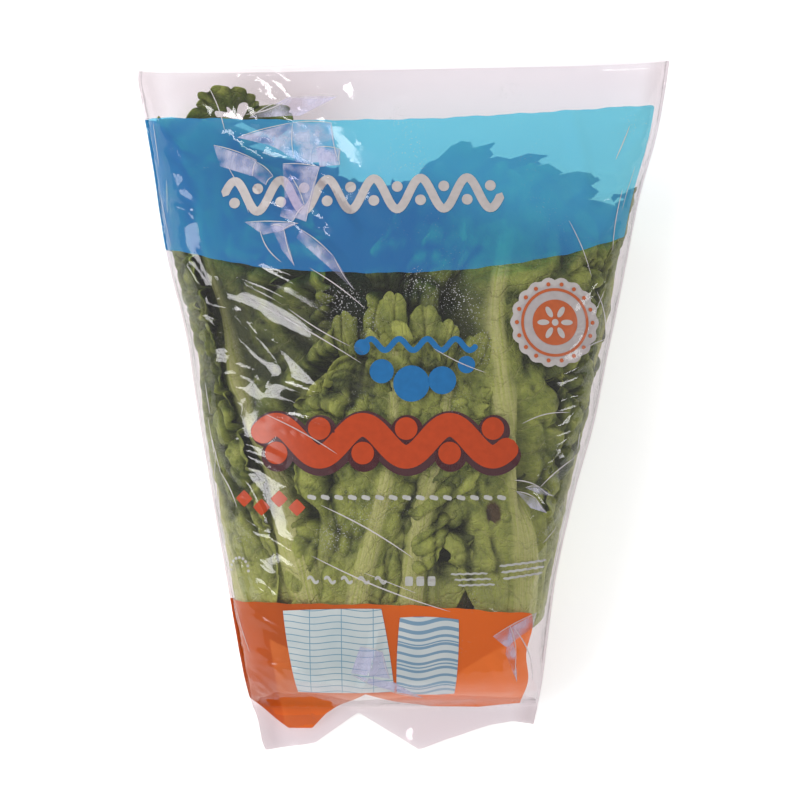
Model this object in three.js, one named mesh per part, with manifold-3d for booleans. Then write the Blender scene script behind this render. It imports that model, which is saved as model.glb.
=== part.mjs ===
// A curly endive head in a tapered film sleeve, lying on its back.
// Millimetres. +X is across the sleeve, +Y runs from the cut stem to the leaf tips and +Z is up.
// The origin is on the surface that the sleeve lies on, under the middle of its outline.
import * as THREE from "three";
import { mergeVertices } from "three/addons/utils/BufferGeometryUtils.js";
import Module from "manifold-3d";

const wasm = await Module();
wasm.setup();

// ---- Driving dimensions ----
const OUTER_LEAVES = 18; // large leaves, each a solid of its own
const HEART_LEAVES = 10; // small inner leaves, grown together in the heart
const GOLDEN_TURN = 0.381966; // turn from one leaf to the next round the stem
const FIRST_TURN = 0.31; // where the outermost leaf stands; 0.25 faces straight up
const OUTERMOST_SHARE = 0.985; // the outermost leaf's place, as a share of the head's radius
const LAYER_STEP = 0.0285; // share of the radius from one leaf to the next one in
const HEART_SHARE = 0.38; // the outermost heart leaf's place
const HEART_STEP = 0.03;
const HEART_ROOT_SHARE = 0.06;

const STEM_Y = -157.5; // the cut face
const STEM_WIDEST_Y = -153.5;
const STEM_TOP_Y = -112; // where the heart begins
const STEM_FLATNESS = 0.72; // depth of the stem over its width
const FIRST_ROOT_Y = STEM_WIDEST_Y; // the outermost leaf's root
const ROOT_STEP = 1.6; // each leaf grows this much higher up the stem than the one outside it
const ROOT_GAP = 0.6; // between the stem and a leaf's root
const SPREAD_BY = 0.2; // part of its length by which a leaf has spread out to its place in the layers

const BLADE_THICKNESS = 0.86;
const RIB_HEIGHT = 2.4; // midrib's height above the blade at the root
const RIB_HALF_WIDTH = 8;
const LEAF_HALF_WIDTH = 56;
const LEAF_LENGTH = 292;
const TALLEST_LEAF = 8; // this leaf stands out above the others
const TALLEST_LEAF_EXTRA = 37;
const HEART_LEAF_HALF_WIDTH = 34;
const HEART_LEAF_LENGTH = 205;
const RUFFLE_SHARE = 0.02; // height of the ruffles at a leaf's edge
const TOOTH_SHARE = 0.08; // how far the teeth stand out, as a share of the leaf's half width
const LEAF_ROWS = 14;
const LEAF_COLUMNS = [-1, -0.62, -0.26, 0, 0.26, 0.62, 1]; // places across the blade, edge to edge

const FILM_THICKNESS = 0.8;
const FILM_GAP = 1.3; // air between the leaves' reach and the film
const SEAM_WIDTH = 6; // flat side seam outside the pocket
const SEAM_THICKNESS = 1.6;
const POCKET_END_Y = -168; // below here the film is a flat tail
const TAIL_Y = -192; // the lowest corner of the tail
const MOUTH_Y = 189;
const MOUTH_LEAN = 0.02; // rise of the mouth's edge to the right
const MOUTH_OVERRUN = 12; // how far the pocket's cutter runs past the mouth
const SLEEVE_ARCS = 22; // facets from seam to seam, on the front and on the back

// ---- A smooth curve through a few stations ----
// stations are [position, value]; the curve is a cubic between them and level outside them.
function profile(stations) {
  const last = stations.length - 1;
  const slopeAt = (i) => {
    const [x0, v0] = stations[Math.max(i - 1, 0)];
    const [x1, v1] = stations[Math.min(i + 1, last)];
    return (v1 - v0) / (x1 - x0);
  };
  return (at) => {
    if (at <= stations[0][0]) return stations[0][1];
    if (at >= stations[last][0]) return stations[last][1];
    const i = stations.findIndex(([x]) => x > at) - 1;
    const [x0, v0] = stations[i];
    const [x1, v1] = stations[i + 1];
    const width = x1 - x0;
    const s = (at - x0) / width;
    const rest = 1 - s;
    return (
      v0 * (1 + 2 * s) * rest * rest +
      slopeAt(i) * width * s * rest * rest +
      v1 * s * s * (3 - 2 * s) -
      slopeAt(i + 1) * width * s * s * rest
    );
  };
}

const { lerp, smoothstep } = THREE.MathUtils;
const fraction = (x) => x - Math.floor(x);
// Numbers from 0 to 1 that differ from leaf to leaf and are the same on every run.
const vary = (leaf, salt) => fraction(Math.sin(leaf * 12.9898 + salt * 78.233) * 43758.5453);

// ---- The sleeve's outline and depth, and the head's room in it, along Y ----
const seamLeft = profile([
  [-192, -80], [-162, -86], [-97, -97], [-49, -105.5], [2, -114],
  [41, -120], [86, -131], [135, -138], [183, -146],
]);
const seamRight = profile([
  [-192, 72], [-168, 74], [-98, 82], [-51, 92], [-11, 103],
  [28, 111], [75, 121], [115, 129.5], [149, 139.5], [192, 146],
]);
const sleeveTop = profile([
  [-192, 3.2], [-168, 7.8], [-165.5, 16], [-163, 29], [-160, 43], [-155, 58], [-147, 70], [-125, 82],
  [-95, 88], [-50, 91], [0, 92], [60, 87], [110, 74], [150, 57], [178, 42], [192, 34],
]);
const axisHeight = profile([
  [-192, 2.4], [-168, 7], [-165.5, 10], [-163, 15], [-160, 21], [-155, 27], [-147, 33], [-125, 38],
  [-95, 41], [-50, 42], [0, 42], [60, 40], [110, 34], [150, 26], [178, 19], [192, 15.5],
]);
// Where the underside would be if nothing held it up: below 0 it lies flat.
const sleeveUnder = profile([
  [-192, 1.6], [-168, 6.2], [-165.5, 4], [-163, 1], [-160, -2], [-150, -5], [192, -3],
]);
const headHalfWidth = profile([
  [-158, 34], [-150, 52], [-140, 63], [-115, 74], [-80, 80],
  [-40, 87], [0, 95], [50, 105], [100, 115], [150, 124], [192, 128],
]);
// The power of the flattened section: 1 is a diamond, 2 an ellipse and more is squarer.
const sectionPower = profile([
  [-168, 1.3], [-155, 1.55], [-130, 2.1], [-95, 2.5], [-50, 2.6], [100, 2.6], [192, 2.2],
]);
const axisX = (y) => (seamLeft(y) + seamRight(y)) / 2;
const sleeveHalfWidth = (y) => (seamRight(y) - seamLeft(y)) / 2;
const headRise = (y) => sleeveTop(y) - axisHeight(y) - FILM_THICKNESS - FILM_GAP;
const headDrop = (y) => axisHeight(y) - FILM_THICKNESS - FILM_GAP;
// Length round the head's section: that of an ellipse, and a little more because it is squarer.
const girth = (y) => {
  const halfDepth = (headRise(y) + headDrop(y)) / 2;
  return 1.02 * 2 * Math.PI * Math.SQRT1_2 * Math.hypot(headHalfWidth(y), halfDepth);
};

// Turns run evenly along the flattened section: 0 is the right side, 0.25 the top and 0.5 the left side.
const angleOf = (turn) => 2 * Math.PI * turn + Math.sin(4 * Math.PI * turn) / 6;

// The point of a flattened section of these half sizes in the direction of turn, as [x, z] from its centre.
function flattened(turn, halfWidth, rise, drop, power) {
  const c = Math.cos(angleOf(turn));
  const s = Math.sin(angleOf(turn));
  const k = (Math.abs(c) ** power + Math.abs(s) ** power) ** (1 / power);
  return [(halfWidth * c) / k, ((s > 0 ? rise : drop) * s) / k];
}
const headSection = (y, turn) =>
  flattened(turn, headHalfWidth(y), headRise(y), headDrop(y), sectionPower(y));

// Swells that every layer of leaves shares, so that they lie in each other.
const swell = (turn, y) =>
  0.94 + 0.04 * Math.sin(6 * Math.PI * turn + y / 15) + 0.02 * Math.sin(10 * Math.PI * turn - y / 11 + 1);

// The point of the head at y, a turn and a share of its radius, moved outwards by out.
function inHead(y, turn, share, out = 0) {
  const [dx, dz] = headSection(y, turn);
  const scale = share * swell(turn, y) + out / Math.hypot(dx, dz);
  return new THREE.Vector3(axisX(y) + dx * scale, y, axisHeight(y) + dz * scale);
}

// ---- Closed solids ----
// A solid between an upper and a lower grid of points, each [row][column], with both grids split alike.
function sheetGeometry(upper, lower) {
  const rows = upper.length;
  const columns = upper[0].length;
  const top = (r, c) => r * columns + c;
  const under = (r, c) => rows * columns + top(r, c);
  const index = [];
  const quad = (a, b, c, d) => index.push(a, b, c, a, c, d);
  for (let r = 0; r + 1 < rows; r++) {
    for (let c = 0; c + 1 < columns; c++) {
      quad(top(r, c), top(r, c + 1), top(r + 1, c + 1), top(r + 1, c));
      quad(under(r, c), under(r + 1, c), under(r + 1, c + 1), under(r, c + 1));
    }
    quad(top(r, 0), top(r + 1, 0), under(r + 1, 0), under(r, 0));
    quad(top(r, columns - 1), under(r, columns - 1), under(r + 1, columns - 1), top(r + 1, columns - 1));
  }
  for (let c = 0; c + 1 < columns; c++) {
    quad(top(0, c), under(0, c), under(0, c + 1), top(0, c + 1));
    quad(top(rows - 1, c), top(rows - 1, c + 1), under(rows - 1, c + 1), under(rows - 1, c));
  }
  const geometry = new THREE.BufferGeometry().setFromPoints([...upper.flat(), ...lower.flat()]);
  geometry.setIndex(index);
  return geometry;
}

function solidOf(geometry) {
  const bare = geometry.clone();
  bare.deleteAttribute("normal");
  bare.deleteAttribute("uv");
  const merged = mergeVertices(bare, 1e-4);
  return new wasm.Manifold(
    new wasm.Mesh({
      numProp: 3,
      vertProperties: merged.attributes.position.array,
      triVerts: new Uint32Array(merged.index.array),
    }),
  );
}

function geometryOf(solid) {
  const mesh = solid.getMesh();
  const geometry = new THREE.BufferGeometry();
  geometry.setAttribute("position", new THREE.BufferAttribute(mesh.vertProperties, 3));
  geometry.setIndex(new THREE.BufferAttribute(mesh.triVerts, 1));
  return geometry;
}

// ---- Stem: a short flattened cone with the cut face at its foot ----
const stemRadius = profile([
  [STEM_Y, 24], [STEM_WIDEST_Y, 27], [-146, 26], [-135, 20.5], [-124, 13], [STEM_TOP_Y, 7],
]);

// The share of the head's radius at which a leaf rooted at y stands ROOT_GAP off the stem, towards turn.
function stemShare(y, turn) {
  const [dx, dz] = headSection(y, turn);
  const radius = stemRadius(y);
  const surface = 1 / Math.hypot(dx / radius, dz / (STEM_FLATNESS * radius));
  return (surface + (ROOT_GAP + BLADE_THICKNESS / 2) / Math.hypot(dx, dz)) / swell(turn, y);
}

// A round body along Y from [y, radius] points, flattened and bent onto the head's axis.
function spindle(points, facets) {
  const geometry = new THREE.LatheGeometry(
    points.map(([y, radius]) => new THREE.Vector2(radius, y)),
    facets,
  );
  geometry.scale(1, 1, STEM_FLATNESS);
  const at = geometry.attributes.position;
  for (let i = 0; i < at.count; i++) {
    at.setX(i, at.getX(i) + axisX(at.getY(i)));
    at.setZ(i, at.getZ(i) + axisHeight(at.getY(i)));
  }
  return geometry;
}

function stemGeometry() {
  const sides = [STEM_Y, STEM_WIDEST_Y, -147, -138, -129, -120, STEM_TOP_Y].map((y) => [y, stemRadius(y)]);
  return spindle([[STEM_Y, 0], ...sides, [STEM_TOP_Y, 0]], 20);
}

// ---- Leaves ----
// Half width along the leaf, root to tip, as a share of the widest.
const outline = profile([
  [0, 0.19], [0.1, 0.26], [0.26, 0.54], [0.5, 0.86], [0.7, 1], [0.86, 0.92], [0.96, 0.6], [1, 0.36],
]);

function outerLeaf(i) {
  const root = FIRST_ROOT_Y + ROOT_STEP * i;
  const extra = i === TALLEST_LEAF ? TALLEST_LEAF_EXTRA : 0;
  return {
    seed: i,
    root,
    turn: FIRST_TURN + GOLDEN_TURN * i,
    rootShare: (turn) => stemShare(root, turn),
    share: OUTERMOST_SHARE - LAYER_STEP * i,
    length: LEAF_LENGTH * (0.93 + 0.14 * vary(i, 1)) - ROOT_STEP * i + extra,
    halfWidth: LEAF_HALF_WIDTH * (0.92 + 0.16 * vary(i, 2)) * (1 - 0.012 * i),
  };
}

function heartLeaf(i) {
  return {
    seed: OUTER_LEAVES + i,
    root: STEM_TOP_Y + 3 + 1.2 * i,
    turn: FIRST_TURN + GOLDEN_TURN * (OUTER_LEAVES + i),
    rootShare: () => HEART_ROOT_SHARE,
    share: HEART_SHARE - HEART_STEP * i,
    length: HEART_LEAF_LENGTH * (1 - 0.045 * i),
    halfWidth: HEART_LEAF_HALF_WIDTH * (1 - 0.05 * i),
  };
}

// The point of a leaf at s (0 root to 1 tip) and w (-1 to 1 across), on its outer (1) or inner (-1) face.
function leafPoint(leaf, s, w, face) {
  const y = leaf.root + leaf.length * s * (1 - 0.05 * w * w);
  const spread = smoothstep(s, 0, SPREAD_BY);
  const alternate = Math.cos(Math.PI * LEAF_ROWS * s); // 1 and -1 from row to row
  const across = w * leaf.halfWidth * outline(s) * (1 + TOOTH_SHARE * Math.abs(w) ** 3 * alternate);
  const turn = leaf.turn - across / (girth(y) * lerp(leaf.rootShare(leaf.turn), leaf.share, spread));
  const side = w > 0 === (leaf.seed % 2 > 0) ? 1 : -1;
  const ruffle = RUFFLE_SHARE * s * (side * alternate * Math.abs(w) ** 1.5 - 0.5);
  const rib = RIB_HEIGHT * (1 - s) ** 1.3 * Math.max(0, 1 - Math.abs(across) / RIB_HALF_WIDTH);
  const half = (BLADE_THICKNESS / 2) * (1 - 0.2 * s);
  const share = lerp(leaf.rootShare(turn), leaf.share, spread) + ruffle;
  return inHead(y, turn, share, face > 0 ? half + rib : -half);
}

function leafGeometry(leaf, rows = LEAF_ROWS, columns = LEAF_COLUMNS) {
  const pointsOf = (face) =>
    Array.from({ length: rows + 1 }, (_, r) => columns.map((w) => leafPoint(leaf, r / rows, w, face)));
  return sheetGeometry(pointsOf(1), pointsOf(-1));
}

// ---- Heart: the small inner leaves on a slim core ----
function heartGeometry() {
  const core = spindle([[STEM_TOP_Y + 0.5, 0], [STEM_TOP_Y + 0.5, 7], [-95, 7.5], [-60, 5], [-20, 0]], 10);
  const leaves = Array.from({ length: HEART_LEAVES }, (_, i) =>
    solidOf(leafGeometry(heartLeaf(i), 9, [-1, -0.5, 0, 0.5, 1])),
  );
  return geometryOf(leaves.reduce((whole, leaf) => whole.add(leaf), solidOf(core)));
}

// ---- Film sleeve ----
// The sleeve's lower edge, seam to seam: a corner flap, a notch and the broad flap of the folded bottom.
const tailEdge = [
  [-86, -170], [-78, TAIL_Y], [-50, -188], [-36, -178], [-26, -171],
  [8, TAIL_Y], [24, -186], [48, -178], [60, -176], [76, -178],
];
function edgeY(x) {
  const i = Math.max(1, tailEdge.findIndex(([edgeX]) => edgeX > x)) - 1;
  const [[x0, y0], [x1, y1]] = tailEdge.slice(i, i + 2);
  return lerp(y0, y1, THREE.MathUtils.clamp((x - x0) / (x1 - x0), 0, 1));
}

// Rows of the sleeve's outside above its flat tail.
const sleeveRows = [
  -165.5, -163, -160, -155, -147, -136, -121, -104, -85, -64, -42, -20, 2, 24, 46, 67, 88, 109,
  129, 148, 165, 179, MOUTH_Y,
];

// A row of points from seam to seam, shaped as the section at y. face is 1 for the front and -1 for the
// back, inset is the film's thickness inside the pocket and 0 outside it, and yAt gives each point its y.
// Towards its closed end the pocket is as wide and deep as the outside is a film's thickness behind it.
function sleeveRow(y, face, inset, yAt) {
  const centre = axisHeight(y);
  const parting = inset ? 0 : SEAM_THICKNESS / 2;
  const behind = y - inset * (1 - smoothstep(y, -150, -100));
  const points = Array.from({ length: SLEEVE_ARCS + 1 }, (_, c) => {
    const [dx, dz] = flattened(
      face * (0.5 - (0.5 * c) / SLEEVE_ARCS),
      sleeveHalfWidth(behind) - SEAM_WIDTH - inset,
      sleeveTop(behind) - axisHeight(behind) - inset,
      axisHeight(behind) - sleeveUnder(behind) - inset,
      sectionPower(behind),
    );
    const z = face > 0 ? Math.max(dz, parting) : Math.min(dz, -parting);
    return new THREE.Vector3(axisX(y) + dx, 0, Math.max(centre + z, inset));
  });
  if (!inset) {
    points.unshift(new THREE.Vector3(seamLeft(y), 0, centre + face * parting));
    points.push(new THREE.Vector3(seamRight(y), 0, centre + face * parting));
  }
  for (const point of points) point.y = yAt(point.x);
  return points;
}

// The mouth is cut a little askew, so the rows lean towards it.
const leaningY = (y) => (x) => y + (MOUTH_LEAN * x * Math.max(0, y)) / MOUTH_Y;

function tailRow(s, face) {
  const yAt = (x) => lerp(edgeY(x), POCKET_END_Y, s);
  return sleeveRow(lerp(TAIL_Y, POCKET_END_Y, s), face, 0, yAt);
}

function sleeveGeometry() {
  const outside = (face) => [
    ...[0, 0.4, 0.8, 1].map((s) => tailRow(s, face)),
    ...sleeveRows.map((y) => sleeveRow(y, face, 0, leaningY(y))),
  ];
  const pocketRows = [...sleeveRows, MOUTH_Y + MOUTH_OVERRUN];
  const pocket = (face) => pocketRows.map((y) => sleeveRow(y, face, FILM_THICKNESS, leaningY(y)));
  return geometryOf(
    solidOf(sheetGeometry(outside(1), outside(-1))).subtract(solidOf(sheetGeometry(pocket(1), pocket(-1)))),
  );
}

// ---- Materials and assembly ----
const leafGreen = new THREE.MeshStandardMaterial({ color: 0x6f8c3e, roughness: 0.55 });
const heartGreen = new THREE.MeshStandardMaterial({ color: 0xc3cf7f, roughness: 0.55 });
const stemWhite = new THREE.MeshStandardMaterial({ color: 0xe6e2c4, roughness: 0.6 });
const clearFilm = new THREE.MeshStandardMaterial({
  color: 0xf2eef2,
  roughness: 0.15,
  transparent: true,
  opacity: 0.3,
});

const endive = new THREE.Group();
function addPiece(name, geometry, material) {
  const mesh = new THREE.Mesh(geometry, material);
  mesh.name = name;
  mesh.geometry.computeVertexNormals();
  endive.add(mesh);
}

addPiece("stem", stemGeometry(), stemWhite);
for (let i = 0; i < OUTER_LEAVES; i++) {
  addPiece(`leaf_${String(i + 1).padStart(2, "0")}`, leafGeometry(outerLeaf(i)), leafGreen);
}
addPiece("heart", heartGeometry(), heartGreen);
addPiece("film_sleeve", sleeveGeometry(), clearFilm);

export default endive;
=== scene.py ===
# %% [markdown]
# # A curly endive head in its film sleeve
# The object is a head of curly endive that lies on its back in a tapered film sleeve. Light passes through
# the film, so the leaves under it are modelled as fully as the film itself. The cells go from the inside out:
# first the sections that every piece shares, then the leaves, the heart and the stem, then the film and what
# is printed on it, and last the light and the camera.

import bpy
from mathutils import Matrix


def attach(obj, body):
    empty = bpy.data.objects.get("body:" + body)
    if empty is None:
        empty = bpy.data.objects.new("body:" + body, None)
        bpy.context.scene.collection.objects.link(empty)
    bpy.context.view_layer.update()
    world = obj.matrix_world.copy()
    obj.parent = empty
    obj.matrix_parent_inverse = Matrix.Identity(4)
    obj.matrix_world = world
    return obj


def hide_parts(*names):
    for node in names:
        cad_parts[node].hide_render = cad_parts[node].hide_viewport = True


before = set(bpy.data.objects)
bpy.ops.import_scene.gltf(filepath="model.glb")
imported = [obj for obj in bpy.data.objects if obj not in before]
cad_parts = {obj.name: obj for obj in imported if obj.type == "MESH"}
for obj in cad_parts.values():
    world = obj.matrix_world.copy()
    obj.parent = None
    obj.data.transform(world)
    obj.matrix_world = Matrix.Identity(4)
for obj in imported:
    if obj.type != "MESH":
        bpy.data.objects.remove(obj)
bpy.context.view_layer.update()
print("nodes:", len(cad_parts))

# %% [markdown]
# Lengths are millimetres while a shape is worked out and become metres when its mesh is written. Colours are
# written as the hex values that one reads off a colour card; one function turns them to the linear values
# that shaders use.

import bpy
import numpy as np
from mathutils import Vector

MM = 0.001
TAU = 2 * np.pi


def linear(code):
    """Hex colour to linear RGBA: each channel c becomes ((c + 0.055) / 1.055) ** 2.4, or c / 12.92 if dark."""
    c = np.array([int(code[i : i + 2], 16) for i in (1, 3, 5)]) / 255
    return (*np.where(c > 0.04045, ((c + 0.055) / 1.055) ** 2.4, c / 12.92), 1.0)


def curve(*stations):
    """Cubic through (place, value) stations; slopes are taken from the neighbours, and it is level outside."""
    x, v = np.array(stations, float).T
    slope = np.gradient(v, x)
    slope[1:-1] = (v[2:] - v[:-2]) / (x[2:] - x[:-2])

    def at(place):
        place = np.clip(place, x[0], x[-1])
        i = np.clip(np.searchsorted(x, place, side="right") - 1, 0, len(x) - 2)
        width = x[i + 1] - x[i]
        s = (place - x[i]) / width
        r = 1 - s
        return (
            v[i] * (1 + 2 * s) * r * r
            + slope[i] * width * s * r * r
            + v[i + 1] * s * s * (3 - 2 * s)
            - slope[i + 1] * width * s * s * r
        )

    return at


def smoothstep(low, high, x):
    """0 below low, 1 above high, and 3 t^2 - 2 t^3 between."""
    t = np.clip((x - low) / (high - low), 0, 1)
    return t * t * (3 - 2 * t)


def each(mm):
    """Scale of a pattern that repeats about each mm, for coordinates in metres: 1000 / mm."""
    return 1000 / mm


def vary(leaf, salt):
    """A number from 0 to 1 that differs from leaf to leaf.

    It is the fraction of 43758.5453 sin(12.9898 leaf + 78.233 salt).
    """
    return (np.sin(leaf * 12.9898 + salt * 78.233) * 43758.5453) % 1.0


print("leaf green, linear:", np.round(linear("#6f8c3e"), 3))

# %% [markdown]
# Every piece hangs on the same few curves along the sleeve: where its side seams run, how high it stands and
# how much room that leaves for the head. A point of the head is then given by its place along the sleeve, its
# turn round the axis and its share of the radius, which is how leaves are really packed in a head.

# %% Sections shared by the head and the sleeve
FILM_ROOM = 2.1  # from the sleeve's outside to the head's reach, as in the solid model
SEAM_ROOM = 2.4  # from a side edge of the sleeve to the head's reach
# Stations along the sleeve, from its tail to its mouth, each with the place or height there.
seam_left = curve(
    (-192, -80), (-162, -86), (-97, -97), (-49, -105.5), (2, -114), (41, -120), (86, -131), (135, -139),
    (183, -148),
)
seam_right = curve(
    (-192, 72), (-168, 74), (-98, 82), (-51, 92), (-11, 103), (28, 111), (75, 121), (115, 129.5), (149, 139.5),
    (192, 147.5),
)
sleeve_top = curve(
    (-192, 3.2), (-168, 7.8), (-165.5, 16), (-163, 29), (-160, 43), (-155, 58), (-147, 70), (-125, 82),
    (-95, 88), (-50, 91), (0, 92), (60, 87), (110, 74), (150, 57), (178, 42), (192, 34),
)
axis_height = curve(
    (-192, 2.4), (-168, 7), (-165.5, 10), (-163, 15), (-160, 21), (-155, 27), (-147, 33), (-125, 38),
    (-95, 41), (-50, 42), (0, 42), (60, 40), (110, 34), (150, 26), (178, 19), (192, 15.5),
)
sleeve_under = curve((-192, 1.6), (-168, 6.2), (-165.5, 4), (-163, 1), (-160, -2), (-150, -5), (192, -3))
head_foot = curve((-158, 42), (-150, 66), (-140, 76), (-125, 84), (-105, 105), (-85, 150))
section_power = curve((-168, 1.3), (-155, 1.55), (-130, 2.1), (-95, 2.5), (-50, 2.6), (100, 2.6), (192, 2.2))


def axis_x(y):
    """Middle of the sleeve: half way between its seams."""
    return (seam_left(y) + seam_right(y)) / 2


def head_half_width(y):
    """Half width of the head: SEAM_ROOM inside the seams, and rounded off at its foot."""
    return np.minimum((seam_right(y) - seam_left(y)) / 2 - SEAM_ROOM, head_foot(y))


def flattened(turn, half_width, rise, drop, power):
    """Point of a flattened section towards turn: |x / half_width| ^ power + |z / rise or drop| ^ power = 1."""
    angle = TAU * turn + np.sin(2 * TAU * turn) / 6
    c, s = np.cos(angle), np.sin(angle)
    k = (np.abs(c) ** power + np.abs(s) ** power) ** (1 / power)
    return half_width * c / k, np.where(s > 0, rise, drop) * s / k


def head_section(y, turn):
    """The head's reach at y towards turn, from the axis."""
    rise = sleeve_top(y) - axis_height(y) - FILM_ROOM
    drop = axis_height(y) - FILM_ROOM
    return flattened(turn, head_half_width(y), rise, drop, section_power(y))


def head_normal(y, dx, dz):
    """Unit normal of the section at its point (dx, dz): the gradient of the sum of the two powers."""
    power, drop = section_power(y), axis_height(y) - FILM_ROOM
    rise = sleeve_top(y) - axis_height(y) - FILM_ROOM
    wide, high = head_half_width(y), np.where(dz > 0, rise, drop)
    nx = np.sign(dx) * np.abs(dx / wide) ** (power - 1) / wide
    nz = np.sign(dz) * np.abs(dz / high) ** (power - 1) / high
    length = np.hypot(nx, nz)
    return nx / length, nz / length


def head_top(x, y):
    """Height of the head's reach above (x, y): the upper half of the same section, solved for z."""
    share = np.clip(np.abs(x - axis_x(y)) / head_half_width(y), 0, 1)
    rise = sleeve_top(y) - axis_height(y) - FILM_ROOM
    return axis_height(y) + rise * (1 - share ** section_power(y)) ** (1 / section_power(y))


def girth(y):
    """Length round the head: 2 pi sqrt((a^2 + b^2) / 2) of an ellipse, and 2% more because it is squarer."""
    half_depth = sleeve_top(y) / 2 - FILM_ROOM
    return 1.02 * TAU * np.sqrt((head_half_width(y) ** 2 + half_depth**2) / 2)


def swell(turn, y):
    """Swells that all layers share: 0.992 + 0.01 sin(3 turns + y / 15) + 0.006 sin(5 turns - y / 11 + 1)."""
    return 0.992 + 0.01 * np.sin(3 * TAU * turn + y / 15) + 0.006 * np.sin(5 * TAU * turn - y / 11 + 1)


middle_size = round(float(2 * head_half_width(0))), round(float(sleeve_top(0)))
print("at its middle the head is", middle_size[0], "mm wide, and the sleeve", middle_size[1], "mm high")

# %% [markdown]
# A leaf, the film and each printed mark are all thin walls. One function makes such a wall from two grids of
# points: it faces both grids with quads and closes the rim, so no wall is left open, and it stores what the
# materials need to know as attributes of the points.

# %% Thin walls from grids of points
def grid_normals(points):
    """Unit normals of a grid (rows, columns, 3): the cross product of its steps along columns and rows."""
    normal = np.cross(np.gradient(points, axis=1), np.gradient(points, axis=0))
    return normal / np.maximum(np.linalg.norm(normal, axis=2, keepdims=True), 1e-9)


def write_mesh(name, points, quads, attributes, smooth=True):
    """Mesh object from points in mm, quads of point numbers, and a number for each point in each attribute."""
    mesh = bpy.data.meshes.new(name)
    mesh.vertices.add(len(points))
    mesh.vertices.foreach_set("co", (points * MM).astype(np.float32).ravel())
    mesh.loops.add(quads.size)
    mesh.loops.foreach_set("vertex_index", quads.astype(np.int32).ravel())
    mesh.polygons.add(len(quads))
    mesh.polygons.foreach_set("loop_start", np.arange(0, quads.size, 4, dtype=np.int32))
    mesh.update(calc_edges=True)
    mesh.polygons.foreach_set("use_smooth", np.full(len(quads), smooth))
    for key, values in attributes.items():
        layer = mesh.attributes.new(key, "FLOAT", "POINT")
        layer.data.foreach_set("value", np.ascontiguousarray(values, np.float32).ravel())
    piece = bpy.data.objects.new(name, mesh)
    bpy.context.collection.objects.link(piece)
    return piece


def sheet_quads(rows, columns):
    """Quads of a closed wall whose outer grid comes first and whose inner grid follows it."""
    ids = np.arange(rows * columns).reshape(rows, columns)
    outer = np.stack([ids[:-1, :-1], ids[:-1, 1:], ids[1:, 1:], ids[1:, :-1]], -1).reshape(-1, 4)
    rim = np.concatenate([ids[0, :-1], ids[:-1, -1], ids[-1, :0:-1], ids[:0:-1, 0]])
    onward = np.roll(rim, -1)
    wall = np.stack([onward, rim, rim + ids.size, onward + ids.size], -1)
    return np.concatenate([outer, outer[:, ::-1] + ids.size, wall])


def join_walls(name, walls, smooth=True):
    """One piece from several (outer, inner, attributes) walls."""
    points, quads, start = [], [], 0
    for outer, inner, _ in walls:
        quads.append(sheet_quads(*outer.shape[:2]) + start)
        points += [outer.reshape(-1, 3), inner.reshape(-1, 3)]
        start += 2 * outer.shape[0] * outer.shape[1]
    keys = walls[0][2].keys()
    attributes = {
        key: np.concatenate([np.tile(np.broadcast_to(a[key], o.shape[:2]).ravel(), 2) for o, _, a in walls])
        for key in keys
    }
    counts = [outer.shape[0] * outer.shape[1] for outer, _, _ in walls]
    attributes["outside"] = np.concatenate([np.repeat([1.0, 0.0], count) for count in counts])
    return write_mesh(name, np.concatenate(points), np.concatenate(quads), attributes, smooth)


print("quads of a 10 by 10 wall:", len(sheet_quads(10, 10)))

# %% [markdown]
# Materials are node trees. One small function adds a node with its settings and links, so that each material
# reads as a list of what feeds what.

# %% One function for nodes
def new_material(name):
    """Empty node material, and its tree."""
    material = bpy.data.materials.new(name)
    material.use_nodes = True
    material.node_tree.nodes.clear()
    return material, material.node_tree


def node(tree, kind, inputs=None, **settings):
    """Node of a kind with its settings; an input is set to a value or linked from a node or (node, output)."""
    made = tree.nodes.new("ShaderNode" + kind)
    for key, value in settings.items():
        setattr(made, key, value)
    for key, value in (inputs or {}).items():
        socket = made.inputs[key]
        if isinstance(value, bpy.types.Node):
            value = (value, 0)
        if isinstance(value, tuple) and isinstance(value[0], bpy.types.Node):
            tree.links.new(value[0].outputs[value[1]], socket)
        else:
            socket.default_value = value
    return made


print("node helper ready")

# %% [markdown]
# An endive leaf grows more at its edge than along its rib, and the extra length has nowhere to go but into
# ruffles. The leaves stand round the stem a golden turn apart, as on the living plant, and each lies one
# layer further in. They could be placed one by one, but a rule keeps them a plant. A head in a sleeve isn't
# regular, though: leaves are pushed aside, pressed against the film or broken off. So every leaf follows the
# rule, and small tables say where single leaves depart from it.

# %% Leaf sizes
OUTER_LEAVES, HEART_LEAVES = 18, 10
GOLDEN_TURN, FIRST_TURN = 0.381966, 0.31
STEM_TOP_Y, STEM_WIDEST_Y, STEM_Y = -112.0, -153.5, -157.5
STEM_FLATNESS = 0.72
LEAF_LENGTH, LEAF_HALF_WIDTH = 292, 56
ROOT_STEP = 1.6  # how much higher each next leaf is rooted
LAYER_STEP = 0.0285  # how much further in each next leaf lies, as a share of the radius
stem_radius = curve((STEM_Y, 24), (STEM_WIDEST_Y, 27), (-146, 26), (-135, 20.5), (-124, 13), (STEM_TOP_Y, 7))
leaf_outline = curve((0, 0.19), (0.1, 0.4), (0.26, 0.68), (0.5, 0.88), (0.7, 1), (0.88, 1.0), (1, 0.74))

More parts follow.
